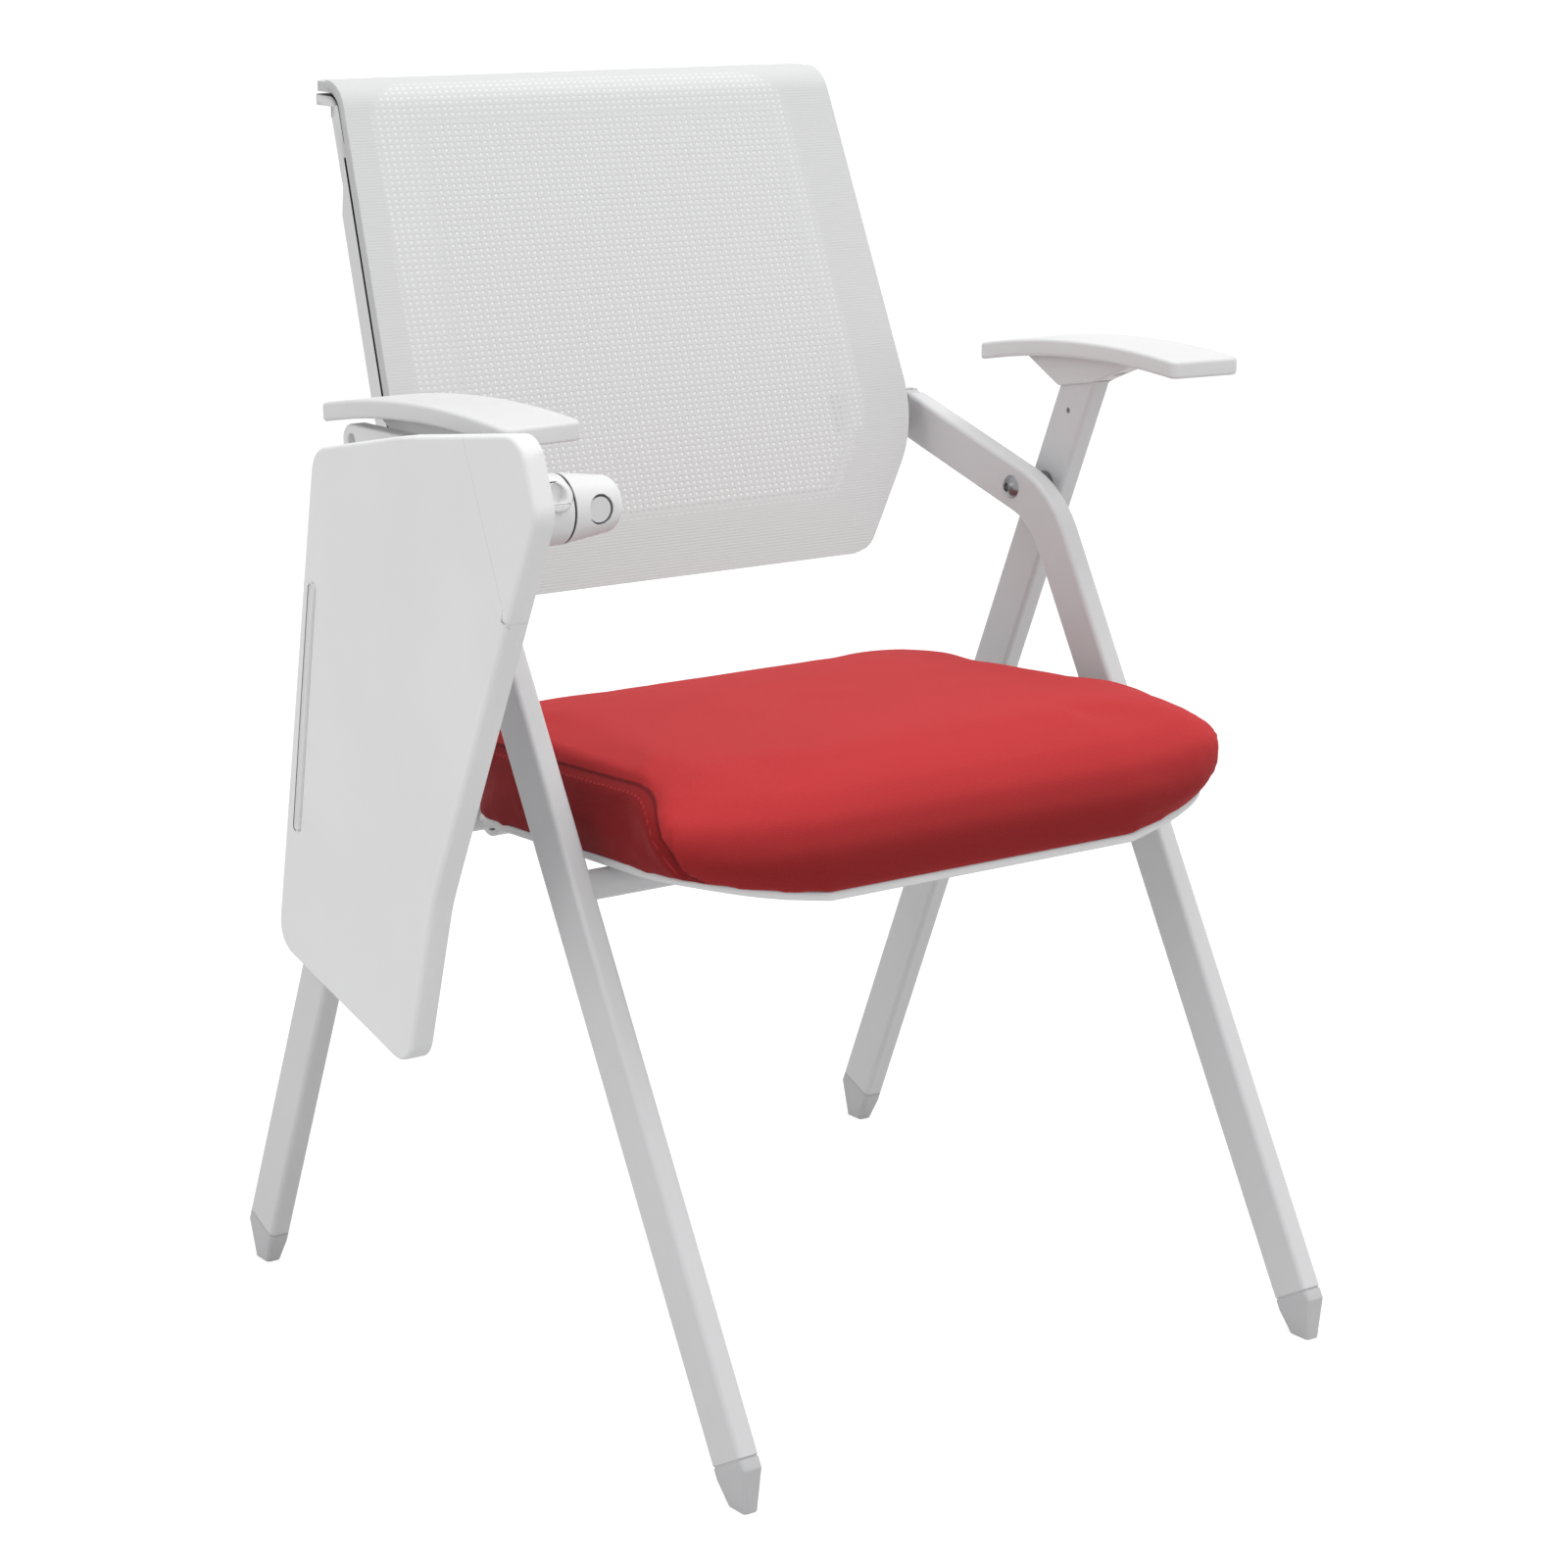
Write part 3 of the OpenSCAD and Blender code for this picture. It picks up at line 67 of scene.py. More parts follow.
class ChairSizes(bpy.types.PropertyGroup):
    """Sizes of the soft and finished pieces, in metres."""

    seat_height: FloatProperty(name="Seat base height",
        description="Height of the seat's base above the middle of the feet", default=0.3683, unit="LENGTH")
    seat_tilt: FloatProperty(name="Seat tilt", description="Slope of the seat, front edge up",
        default=math.radians(4.2), subtype="ANGLE")
    cushion_grain: FloatProperty(name="Cushion mesh",
        description="Size of the cushion's faces before it is swollen", default=0.005, min=0.004, max=0.012,
        unit="LENGTH")
    cushion_swell: FloatProperty(name="Cushion swell",
        description="Furthest that the foam may push its cover out", default=0.0032, min=0, max=0.012,
        unit="LENGTH")
    cushion_shrink: FloatProperty(name="Cushion shrink",
        description="How far the cover starts inside its final place", default=0.0014, min=0, max=0.006,
        unit="LENGTH")
    cushion_foot: FloatProperty(name="Cushion foot",
        description="How far the cover swells out over the pan's rim", default=0.0015, min=0, max=0.003,
        unit="LENGTH")
    cushion_drop: FloatProperty(name="Cushion drop",
        description="How far the cover reaches down over the pan's rim", default=0.0020, min=0, max=0.003,
        unit="LENGTH")
    seam_share: FloatProperty(name="Seam height",
        description="Height of the side seam as a share of the cushion's side", default=0.85, min=0.3,
        max=0.95)
    seam_depth: FloatProperty(name="Seam depth", description="Depth of the sewn seam", default=0.0026,
        unit="LENGTH")
    seam_width: FloatProperty(name="Seam width", description="Half width of the sewn seam", default=0.0034,
        unit="LENGTH")
    seam_bend_y: FloatProperty(name="Seam bend",
        description="Where the seam begins to turn down at the front corner", default=-0.125, unit="LENGTH")
    seam_end_y: FloatProperty(name="Seam end",
        description="Where the seam meets the pan at the front corner", default=-0.186, unit="LENGTH")
    back_recline: FloatProperty(name="Recline", description="Recline of the backrest from the vertical",
        default=math.radians(21), subtype="ANGLE")
    back_y: FloatProperty(name="Back depth", description="Depth of the mesh's lower edge",
        default=0.1056234, unit="LENGTH")
    back_z: FloatProperty(name="Back foot", description="Height of the mesh's lower edge", default=0.5048,
        unit="LENGTH")
    back_top_z: FloatProperty(name="Back top", description="Height of the backrest", default=0.848,
        unit="LENGTH")
    back_mid_z: FloatProperty(name="Widest height", description="Height of the widest place", default=0.590,
        unit="LENGTH")
    back_low_half: FloatProperty(name="Low half width", description="Half width of the lower edge",
        default=0.152, unit="LENGTH")
    back_mid_half: FloatProperty(name="Mid half width", description="Half of the greatest width",
        default=0.2205, unit="LENGTH")
    back_top_half: FloatProperty(name="Top half width", description="Half width at the top", default=0.2035,
        unit="LENGTH")
    back_low_round: FloatProperty(name="Low corner", description="Radius of the lower corners",
        default=0.028, unit="LENGTH")
    back_mid_round: FloatProperty(name="Side corner", description="Radius of the side corners",
        default=0.090, unit="LENGTH")
    roll_radius: FloatProperty(name="Roll", description="Outer radius of the roll along the top",
        default=0.026, unit="LENGTH")
    hem_depth: FloatProperty(name="Hem", description="How far the mesh wraps back over its frame",
        default=0.0072, unit="LENGTH")
    # gap_front and gap_back bound the depths where shade is painted in the gap between the back frames
    gap_front: FloatProperty(name="Gap front",
        description="Depth from which the gap between the back frames is dark", default=0.0058,
        unit="LENGTH")
    gap_back: FloatProperty(name="Gap back",
        description="Depth up to which the gap between the back frames is dark", default=0.0112,
        unit="LENGTH")
    hem_rise: FloatProperty(name="Hem rise",
        description="How far the lower hem rises behind the frame's rounded edge", default=0.0014,
        unit="LENGTH")
    side_band: FloatProperty(name="Side band", description="Width of the plain band along each side",
        default=0.032, unit="LENGTH")
    field_shift: FloatProperty(name="Field shift",
        description="How far the dotted field lies towards the tablet's side", default=0.011, unit="LENGTH")
    low_band: FloatProperty(name="Low band", description="Height of the plain band along the lower edge",
        default=0.042, unit="LENGTH")
    field_corner: FloatProperty(name="Field corner",
        description="Radius of the dotted field's upper corners", default=0.034, unit="LENGTH")
    frame_reach: FloatProperty(name="Frame reach",
        description="How far in from the side the frame and lugs lie behind the mesh", default=0.050,
        unit="LENGTH")
    chair_middle: FloatProperty(name="Middle", description="Middle of the chair, seen from the front",
        default=0.0205, unit="LENGTH")
    knit_across: FloatProperty(name="Knit across",
        description="Distance between two holes of the mesh, across", default=0.0054, unit="LENGTH")
    knit_along: FloatProperty(name="Knit along", description="Distance between two rows of the mesh",
        default=0.00425, unit="LENGTH")
    hole_width: FloatProperty(name="Hole width", description="Half width of a hole in the mesh",
        default=0.0016, unit="LENGTH")
    hole_height: FloatProperty(name="Hole height", description="Half height of a hole in the mesh",
        default=0.0012, unit="LENGTH")
    cloth_pitch: FloatProperty(name="Cloth pitch",
        description="Distance between two threads of the seat cloth", default=0.0011, unit="LENGTH")
    tablet_edge: FloatProperty(name="Tablet edge", description="Radius of the tablet's edge",
        default=0.0028, unit="LENGTH")
    crease_top: FloatVectorProperty(name="Crease top",
        description="Depth and height of the upper end of the tablet's crease", size=2,
        default=(-0.1467766, 0.6565), unit="LENGTH")
    crease_low: FloatVectorProperty(name="Crease foot",
        description="Depth and height of the lower end of the tablet's crease", size=2,
        default=(-0.1845766, 0.5685), unit="LENGTH")
    # crease_width: half width of the painted shade line along the tablet's crease
    crease_width: FloatProperty(name="Crease width", description="Half width of the tablet's crease",
        default=0.0007, unit="LENGTH")
    # cap_shadow: width of the painted shadow ring round the end cap
    cap_shadow: FloatProperty(name="Cap ring", description="Width of the dark ring round the end cap",
        default=0.0011, unit="LENGTH")
    pad_edge: FloatProperty(name="Arm pad edge", description="Radius of the arm pad's edge", default=0.0026,
        unit="LENGTH")
    cast_edge: FloatProperty(name="Casting edge", description="Radius of the edges of the castings",
        default=0.0018, unit="LENGTH")
    fine_edge: FloatProperty(name="Fine edge", description="Radius of small edges", default=0.0008,
        unit="LENGTH")
    foot_groove: FloatProperty(name="Foot groove", description="Depth of the groove round each foot",
        default=0.0013, unit="LENGTH")


class ChairColours(bpy.types.PropertyGroup):
    """Colours of the finishes."""

    paint: FloatVectorProperty(name="Leg paint", description="Powder coat on the legs", subtype="COLOR",
        default=(0.72, 0.72, 0.73), min=0, max=1)
    casting: FloatVectorProperty(name="Casting paint", description="Paint on the cast arm and joint",
        subtype="COLOR", default=(0.85, 0.85, 0.855), min=0, max=1)
    white_plastic: FloatVectorProperty(name="White plastic",
        description="Moulded arm pads, back shell and seat pan", subtype="COLOR",
        default=(0.78, 0.78, 0.785), min=0, max=1)
    tablet: FloatVectorProperty(name="Tablet", description="White plastic of the writing tablet",
        subtype="COLOR", default=(0.90, 0.90, 0.905), min=0, max=1)
    grey_plastic: FloatVectorProperty(name="Grey plastic", description="Feet, lugs and the mesh's frame",
        subtype="COLOR", default=(0.59, 0.59, 0.60), min=0, max=1)
    mesh: FloatVectorProperty(name="Mesh", description="Knitted back mesh", subtype="COLOR",
        default=(0.700, 0.707, 0.708), min=0, max=1)
    # Painted light: the holes take this paler colour as if light showed through them, over the frame behind
    # as well.
    painted_hole_light: FloatVectorProperty(name="Painted hole light", description="Light seen in the holes over the frame",
        subtype="COLOR", default=(0.824, 0.832, 0.833), min=0, max=1)
    cloth: FloatVectorProperty(name="Seat cloth", description="Red seat cloth", subtype="COLOR",
        default=(0.58, 0.036, 0.040), min=0, max=1)
    # Painted shade: a darker red that stands in for the shade on the cushion's sides below the seam; it is
    # also the red of the painted shade low down and along the seam.
    panel: FloatVectorProperty(name="Painted shade red", description="Darker red cloth of the seat's side panels",
        subtype="COLOR", default=(0.27, 0.009, 0.011), min=0, max=1)
    cast: FloatVectorProperty(name="Cast",
        description="Paler red that the cloth throws on the white pieces round it", subtype="COLOR",
        default=(0.24, 0.20, 0.20), min=0, max=1)
    thread: FloatVectorProperty(name="Thread", description="Sewing thread", subtype="COLOR",
        default=(0.40, 0.022, 0.026), min=0, max=1)
    steel: FloatVectorProperty(name="Steel", description="Bolts and screws", subtype="COLOR",
        default=(0.30, 0.30, 0.31), min=0, max=1)
    dark: FloatVectorProperty(name="Dark plastic", description="Bushes, washer and rubber", subtype="COLOR",
        default=(0.035, 0.035, 0.038), min=0, max=1)
    board: FloatVectorProperty(name="Board", description="Plywood inside the seat", subtype="COLOR",
        default=(0.50, 0.33, 0.17), min=0, max=1)


class ChairStudio(bpy.types.PropertyGroup):
    """Camera and light."""

    camera_place: FloatVectorProperty(name="Camera place", description="Place of the camera",
        subtype="TRANSLATION", default=(-1.45589, -2.01437, 0.98787))
    camera_turn: FloatVectorProperty(name="Camera turn",
        description="Turn about the upright, slope down and roll",
        default=(math.radians(-36.2091), math.radians(13.8398), math.radians(0.1321)), subtype="EULER")
    camera_lens: FloatProperty(name="Lens", description="Focal length for a picture 36 mm wide",
        default=84.9685)
    sky_light: FloatProperty(name="Sky", description="Strength of the even light", default=0.73, min=0)
    top_light: FloatProperty(name="Top light", description="Strength of the large light above", default=46,
        min=0)
    front_light: FloatProperty(name="Front light", description="Strength of the light in front", default=8,
        min=0)
    side_light: FloatProperty(name="Side light", description="Strength of the light on the tablet's side",
        default=15, min=0)


# Wiring and node groups

class Wiring:
    """Adds and joins nodes in one tree."""

    def __init__(self, tree):
        self.tree = tree

    def put(self, socket, value):
        """Links a socket to another, or gives it a value."""
        if isinstance(value, bpy.types.NodeSocket):
            self.tree.links.new(value, socket)
        else:
            socket.default_value = value

    def node(self, kind, values=(), **settings):
        """A new node with these settings, and with values or links in its sockets."""
        made = self.tree.nodes.new(kind)
        for key, value in settings.items():
            setattr(made, key, value)
        for key, value in dict(values).items():
            self.put(made.inputs[key], value)
        return made

    def math(self, operation, a, b=0.0, clamp=False):
        return self.node("ShaderNodeMath", {0: a, 1: b}, operation=operation, use_clamp=clamp).outputs[0]

    def times(self, a, b):
        return self.math("MULTIPLY", a, b)

    def plus(self, a, b):
        return self.math("ADD", a, b)

    def minus(self, a, b):
        return self.math("SUBTRACT", a, b)

    def divided(self, a, b):
        return self.math("DIVIDE", a, b)

    def absolute(self, a):
        return self.math("ABSOLUTE", a)

    def sine(self, a):
        return self.math("SINE", a)

    def ramp(self, value, low, high, to_low=0.0, to_high=1.0):
        """The value's place between low and high, smoothed."""
        return self.node("ShaderNodeMapRange", {"Value": value, "From Min": low, "From Max": high,
            "To Min": to_low, "To Max": to_high}, interpolation_type="SMOOTHSTEP").outputs[0]

    def between(self, share, low, high):
        """A share from 0 to 1, spread evenly from low to high."""
        return self.node("ShaderNodeMapRange", {"Value": share, "To Min": low, "To Max": high}).outputs[0]

    def mix(self, share, a, b):
        """The first colour, turned into the second by a share."""
        return self.node("ShaderNodeMix", {0: share, 6: a, 7: b}, data_type="RGBA").outputs[2]

    def object_place(self):
        return self.node("ShaderNodeTexCoord").outputs["Object"]

    def map_place(self):
        return self.node("ShaderNodeUVMap").outputs[0]

    def parts(self, place):
        """The three parts of a place."""
        return self.node("ShaderNodeSeparateXYZ", {"Vector": place}).outputs

    def stretched(self, place, scale):
        return self.node("ShaderNodeMapping", {"Vector": place, "Scale": scale}).outputs[0]

    def noise(self, place, scale, **values):
        return self.node("ShaderNodeTexNoise", {"Vector": place, "Scale": scale, **values}).outputs[0]

    def painted(self, name):
        """A value that the piece's own points carry."""
        return self.node("ShaderNodeAttribute", attribute_name=name, attribute_type="GEOMETRY").outputs["Fac"]

    def group(self, tree, values):
        """The outputs of a node group with these values."""
        return self.node("ShaderNodeGroup", values, node_tree=tree).outputs

    def bump(self, shader, height, strength, distance):
        """Raises the surface by a height from 0 to 1, over a distance in metres."""
        made = self.node("ShaderNodeBump", {"Height": height, "Strength": strength, "Distance": distance})
        self.put(shader.inputs["Normal"], made.outputs[0])

    def rays(self):
        return self.node("ShaderNodeLightPath").outputs

    def seen(self):
        """1 where the camera, gloss or glass looks, and 0 where only light arrives."""
        rays = self.rays()
        return self.math("MAXIMUM", rays["Is Camera Ray"],
            self.math("MAXIMUM", rays["Is Glossy Ray"], rays["Is Transmission Ray"]))


class GroupWiring(Wiring):
    """Wiring of a node group, with its given values and its results."""

    def __init__(self, tree):
        super().__init__(tree)
        self.given = self.node("NodeGroupInput").outputs
        self.result = self.node("NodeGroupOutput").inputs


def new_group(name, given, results):
    """A node group with these sockets and its wiring, or None for the wiring if the group exists already."""
    found = bpy.data.node_groups.get(name)
    if found:
        return found, None
    group = bpy.data.node_groups.new(name, "ShaderNodeTree")
    for label, value in given.items():
        socket = group.interface.new_socket(name=label, in_out="INPUT", socket_type="NodeSocketFloat")
        socket.default_value = value
    for label in results:
        group.interface.new_socket(name=label, in_out="OUTPUT", socket_type="NodeSocketFloat")
    return group, GroupWiring(group)


def grain_group():
    """Fine moulding grain and slow unevenness of a hard surface."""
    group, wire = new_group("Surface grain", {"Grain": 900.0, "Waves": 9.0, "Scuffs": 60.0},
        ("Height", "Shade", "Scuff"))
    if wire:
        place = wire.object_place()
        fine = wire.noise(place, wire.given["Grain"], Detail=3.0, Roughness=0.55)
        slow = wire.noise(place, wire.given["Waves"], Detail=2.0)
        marks = wire.noise(place, wire.given["Scuffs"], Detail=6.0, Roughness=0.7, Distortion=0.6)
        wire.put(wire.result["Height"], wire.plus(fine, wire.times(slow, 0.6)))
        wire.put(wire.result["Shade"], wire.ramp(slow, 0.3, 0.7))
        wire.put(wire.result["Scuff"], wire.ramp(marks, 0.52, 0.72))
    return group


def thread_group():
    """Plain weave on the piece's own map: warp and weft that pass over each other."""
    group, wire = new_group("Woven threads", {"Pitch": 0.001}, ("Height", "Shade"))
    if wire:
        place = wire.map_place()
        wobble = wire.times(wire.noise(place, 140.0, Detail=2.0), THREAD_WOBBLE)
        split = wire.parts(place)
        turns = []
        for axis in (0, 1):
            bent = wire.plus(split[axis], wobble)
            turns.append(wire.times(wire.divided(bent, wire.given["Pitch"]), math.pi))
        warp, weft = (wire.absolute(wire.sine(turn)) for turn in turns)
        turn = wire.times(*(wire.sine(wire.times(turn, 0.5)) for turn in turns))
        over = wire.ramp(turn, -0.2, 0.2)
        height = wire.plus(wire.times(warp, over), wire.times(weft, wire.minus(1.0, over)))
        wire.put(wire.result["Height"], height)
        wire.put(wire.result["Shade"], wire.ramp(height, 0.1, 0.95))
    return group


def knit_group():
    """Open knit on the piece's own map: rows of holes between ribs."""
    group, wire = new_group("Open knit",
        {"Across": 0.005, "Along": 0.002, "Half width": 0.0013, "Half height": 0.0009},
        ("Hole", "Height", "Rib"))
    if wire:
        split = wire.parts(wire.map_place())
        row = wire.divided(split[1], wire.given["Along"])
        column = wire.divided(split[0], wire.given["Across"])
        shares = []
        for place, pitch, half in ((column, "Across", "Half width"), (row, "Along", "Half height")):
            off = wire.times(wire.minus(wire.math("FRACT", place), 0.5), wire.given[pitch])
            shares.append(wire.math("POWER", wire.absolute(wire.divided(off, wire.given[half])), 2.0))
        away = wire.math("SQRT", wire.plus(*shares))
        wire.put(wire.result["Hole"], wire.ramp(away, 1.2, 0.5))
        wire.put(wire.result["Height"], wire.ramp(away, 0.85, 1.5))
        wire.put(wire.result["Rib"], wire.absolute(wire.sine(wire.times(row, math.tau))))
    return group


# Materials

# Metres across the seam: each line is whole at its CORE and gone at its EDGE
THREAD_WOBBLE = 0.0005
STITCH_PITCH = 0.0055
STITCH_OFFSET = 0.006
STITCH_EDGE, STITCH_CORE = 0.0011, 0.0004
# Width of the painted shade along the seam's groove
SEAM_SHADE_EDGE, SEAM_SHADE_CORE = 0.0018, 0.0003
CLOTH_RELIEF = 0.0003
WOOD_RELIEF = 0.0002
STEEL_RELIEF = 0.00002

MOULDING = dict(rough=0.46, grain=1400.0, depth=0.00003)
HARD_FINISHES = {
    "frame_paint": dict(name="Powder coat", colour="paint", rough=0.42, grain=700.0, depth=0.00005, coat=0.1),
    "cast_paint": dict(name="Painted casting", colour="casting", rough=0.36, grain=500.0, depth=0.00006,
        coat=0.15),
    "white_plastic": dict(name="White plastic", colour="white_plastic", **MOULDING),
    "grey_plastic": dict(name="Grey plastic", colour="grey_plastic", rough=0.5, grain=1300.0, depth=0.00003),
    "dark_plastic": dict(name="Dark plastic", colour="dark", rough=0.5, grain=1200.0, depth=0.00002),
    "dark_rubber": dict(name="Dark rubber", colour="dark", rough=0.8, grain=600.0, depth=0.00006,
        unevenness=0.2),
}


def rgba(colour, factor=1.0):
    return tuple(min(1.0, c * factor) for c in colour) + (1.0,)


def chair_settings():
    """The colours and the sizes that the sidebar's user can change."""
    return bpy.context.scene.chair_colours, bpy.context.scene.chair_sizes


def material(name):
    """A new material with only a shader and its output, as (material, wiring, shader)."""
    made = bpy.data.materials.new(name)
    made.use_nodes = True
    made.node_tree.nodes.clear()
    wire = Wiring(made.node_tree)
    shader = wire.node("ShaderNodeBsdfPrincipled")
    wire.node("ShaderNodeOutputMaterial", {"Surface": shader.outputs[0]})
    return made, wire, shader


def kept(build):
    """A function that builds a material at its first call and gives the same one after that."""
    def made(name, *values, **more):
        return bpy.data.materials.get(name) or build(name, *values, **more)
    return made


@kept
def hard_finish(name, colour, rough, grain, depth, coat=0.0, unevenness=0.03):
    """Painted or moulded surface: grain in the height, scuffs in the gloss, slow change in the colour."""
    made, wire, shader = material(name)
    colour = getattr(chair_settings()[0], colour)
    skin = wire.group(grain_group(), {"Grain": grain})
    wire.put(shader.inputs["Base Color"], wire.mix(skin["Shade"], rgba(colour, 1 - unevenness), rgba(colour)))
    wire.put(shader.inputs["Roughness"], wire.between(skin["Scuff"], rough, min(1.0, rough + 0.14)))
    wire.bump(shader, skin["Height"], 0.5, depth)
    shader.inputs["Coat Weight"].default_value = coat
    shader.inputs["Coat Roughness"].default_value = 0.25
    return made


@kept
def steel_finish(name):
    """Plated steel with fine lines from turning."""
    colours = chair_settings()[0]
    made, wire, shader = material(name)
    lines = wire.noise(wire.stretched(wire.object_place(), (1.0, 14.0, 14.0)), 260.0, Detail=4.0)
    wire.put(shader.inputs["Base Color"], wire.mix(lines, rgba(colours.steel, 0.8), rgba(colours.steel)))
    wire.put(shader.inputs["Roughness"], wire.ramp(lines, 0.2, 0.8, 0.24, 0.4))
    wire.bump(shader, lines, 0.3, STEEL_RELIEF)
    shader.inputs["Metallic"].default_value = 1.0
    return made


@kept
def board_finish(name):
    """Plywood with long year rings."""
    colours = chair_settings()[0]
    made, wire, shader = material(name)
    place = wire.stretched(wire.object_place(), (1.0, 9.0, 40.0))
    rings = wire.noise(place, 12.0, Detail=5.0, Distortion=1.2)
    wire.put(shader.inputs["Base Color"],
        wire.mix(wire.ramp(rings, 0.35, 0.65), rgba(colours.board, 0.75), rgba(colours.board)))
    wire.bump(shader, rings, 0.4, WOOD_RELIEF)
    shader.inputs["Roughness"].default_value = 0.6
    return made


@kept
def mesh_finish(name, openness=0.28):
    """Knitted mesh: open holes where nothing lies behind, plain ribs along the hem. The holes are painted
    paler as painted light, over the frame and in the open field.
    """
    colours, sizes = chair_settings()
    made, wire, shader = material(name)
    knit = wire.group(knit_group(), {"Across": sizes.knit_across, "Along": sizes.knit_along,
        "Half width": sizes.hole_width, "Half height": sizes.hole_height})
    band, clear = wire.painted("band"), wire.painted("clear")
    knitted = wire.math("SUBTRACT", 1.0, band, clamp=True)
    hole = wire.times(knit["Hole"], knitted)
    relief = wire.plus(wire.times(knit["Height"], knitted), wire.times(knit["Rib"], wire.times(band, 0.5)))
    yarn = wire.mix(relief, rgba(colours.mesh, 0.94), rgba(colours.mesh))
    # Painted light in the holes: full over the frame, a little less in the open field, where they are also
    # partly clear
    inside = wire.mix(clear, rgba(colours.painted_hole_light), rgba(colours.painted_hole_light, 0.94))
    wire.put(shader.inputs["Base Color"], wire.mix(hole, yarn, inside))
    wire.put(shader.inputs["Alpha"], wire.minus(1.0, wire.times(wire.times(hole, clear), openness)))
    wire.bump(shader, relief, 0.4, CLOTH_RELIEF)
    shader.inputs["Roughness"].default_value = 0.75
    shader.inputs["Sheen Weight"].default_value = 0.15
    return made


def cloth_colour(wire, shade, stitch):
    """Red cloth with painted shade on the sides below the seam, low down and along the seam's groove, and its
    stitches.
    """
    colours = chair_settings()[0]
    top = wire.mix(shade, rgba(colours.cloth, 0.84), rgba(colours.cloth))
    side = wire.mix(shade, rgba(colours.panel, 0.84), rgba(colours.panel))
    # Painted shade on the sides below the seam
    cloth = wire.mix(wire.painted("panel"), top, side)
    # Painted shade: upright faces grow darker towards the cushion's foot, where shade falls.
    low = wire.math("MULTIPLY", wire.painted("low"), 0.85, clamp=True)
    cloth = wire.mix(low, cloth, rgba(colours.panel, 0.8))
    # Painted shade along the seam's groove, where shade falls
    seam_shade = wire.times(wire.ramp(wire.absolute(wire.painted("seam")), SEAM_SHADE_EDGE, SEAM_SHADE_CORE), 0.75)
    cloth = wire.mix(seam_shade, cloth, rgba(colours.panel, 0.35))
    rays = wire.rays()
    cast = wire.math("MAXIMUM", rays["Is Diffuse Ray"], rays["Is Glossy Ray"])
    cloth = wire.mix(wire.times(cast, 0.65), cloth, rgba(colours.cast))
    return wire.mix(stitch, cloth, rgba(colours.thread))


@kept
def cloth_finish(name):
    """Woven seat cloth with sewing thread along the seam."""
    colours, sizes = chair_settings()
    made, wire, shader = material(name)
    weave = wire.group(thread_group(), {"Pitch": sizes.cloth_pitch})
    skin = wire.group(grain_group(), {"Grain": 420.0})
    away = wire.absolute(wire.minus(wire.painted("seam"), STITCH_OFFSET))
    dash = wire.ramp(wire.sine(wire.times(wire.painted("seam_run"), math.tau / STITCH_PITCH)), -0.5, 0.1)
    stitch = wire.times(wire.ramp(away, STITCH_EDGE, STITCH_CORE), dash)
    shade = wire.plus(wire.times(weave["Shade"], 0.75), wire.times(skin["Shade"], 0.25))
    wire.put(shader.inputs["Base Color"], cloth_colour(wire, shade, stitch))
    relief = wire.plus(wire.times(weave["Height"], 0.6),
        wire.plus(wire.times(skin["Height"], 0.3), wire.times(stitch, 1.2)))
    wire.bump(shader, relief, 0.45, CLOTH_RELIEF)
    wire.put(shader.inputs["Roughness"], wire.ramp(weave["Height"], 0.0, 1.0, 0.88, 0.76))
    shader.inputs["Sheen Weight"].default_value = 0.25
    shader.inputs["Sheen Roughness"].default_value = 0.45
    shader.inputs["Sheen Tint"].default_value = rgba(colours.cloth)
    shader.inputs["Specular IOR Level"].default_value = 0.25
    return made


SOFT_AND_BARE_FINISHES = {
    "steel": (steel_finish, "Plated steel"),
    "plywood": (board_finish, "Plywood"),
    "mesh_fabric": (mesh_finish, "Knitted mesh"),
    "red_fabric": (cloth_finish, "Seat cloth"),
}


def finish(slot):
    """The material for one of the record's slots."""
    if slot in HARD_FINISHES:
        return hard_finish(**HARD_FINISHES[slot])
    build, name = SOFT_AND_BARE_FINISHES[slot]
    return build(name)


def draw_over(made, share_of, colour):
    """Draws a colour over a finished material, by the share that share_of() wires."""
    wire = Wiring(made.node_tree)
    base = next(n for n in made.node_tree.nodes if n.type == "BSDF_PRINCIPLED").inputs["Base Color"]
    wire.put(base, wire.mix(share_of(wire), base.links[0].from_socket, colour))
    return made


def tablet_finish():
    """White plastic with a painted shade line along the crease where the tablet's face falls away."""
    colours, sizes = chair_settings()
    top, low = Vector(sizes.crease_top), Vector(sizes.crease_low)
    across = (low - top).orthogonal().normalized()

    def crease(wire):
        place = wire.parts(wire.object_place())
        off = wire.plus(wire.times(place[1], across.x), wire.times(place[2], across.y))
        away = wire.absolute(wire.minus(off, top.dot(across)))
        # Painted shade: a darker line along the crease
        return wire.times(wire.ramp(away, sizes.crease_width, sizes.crease_width * 0.3), 0.6)

    return draw_over(hard_finish("Tablet plastic", "tablet", **MOULDING), crease, rgba(colours.tablet, 0.84))


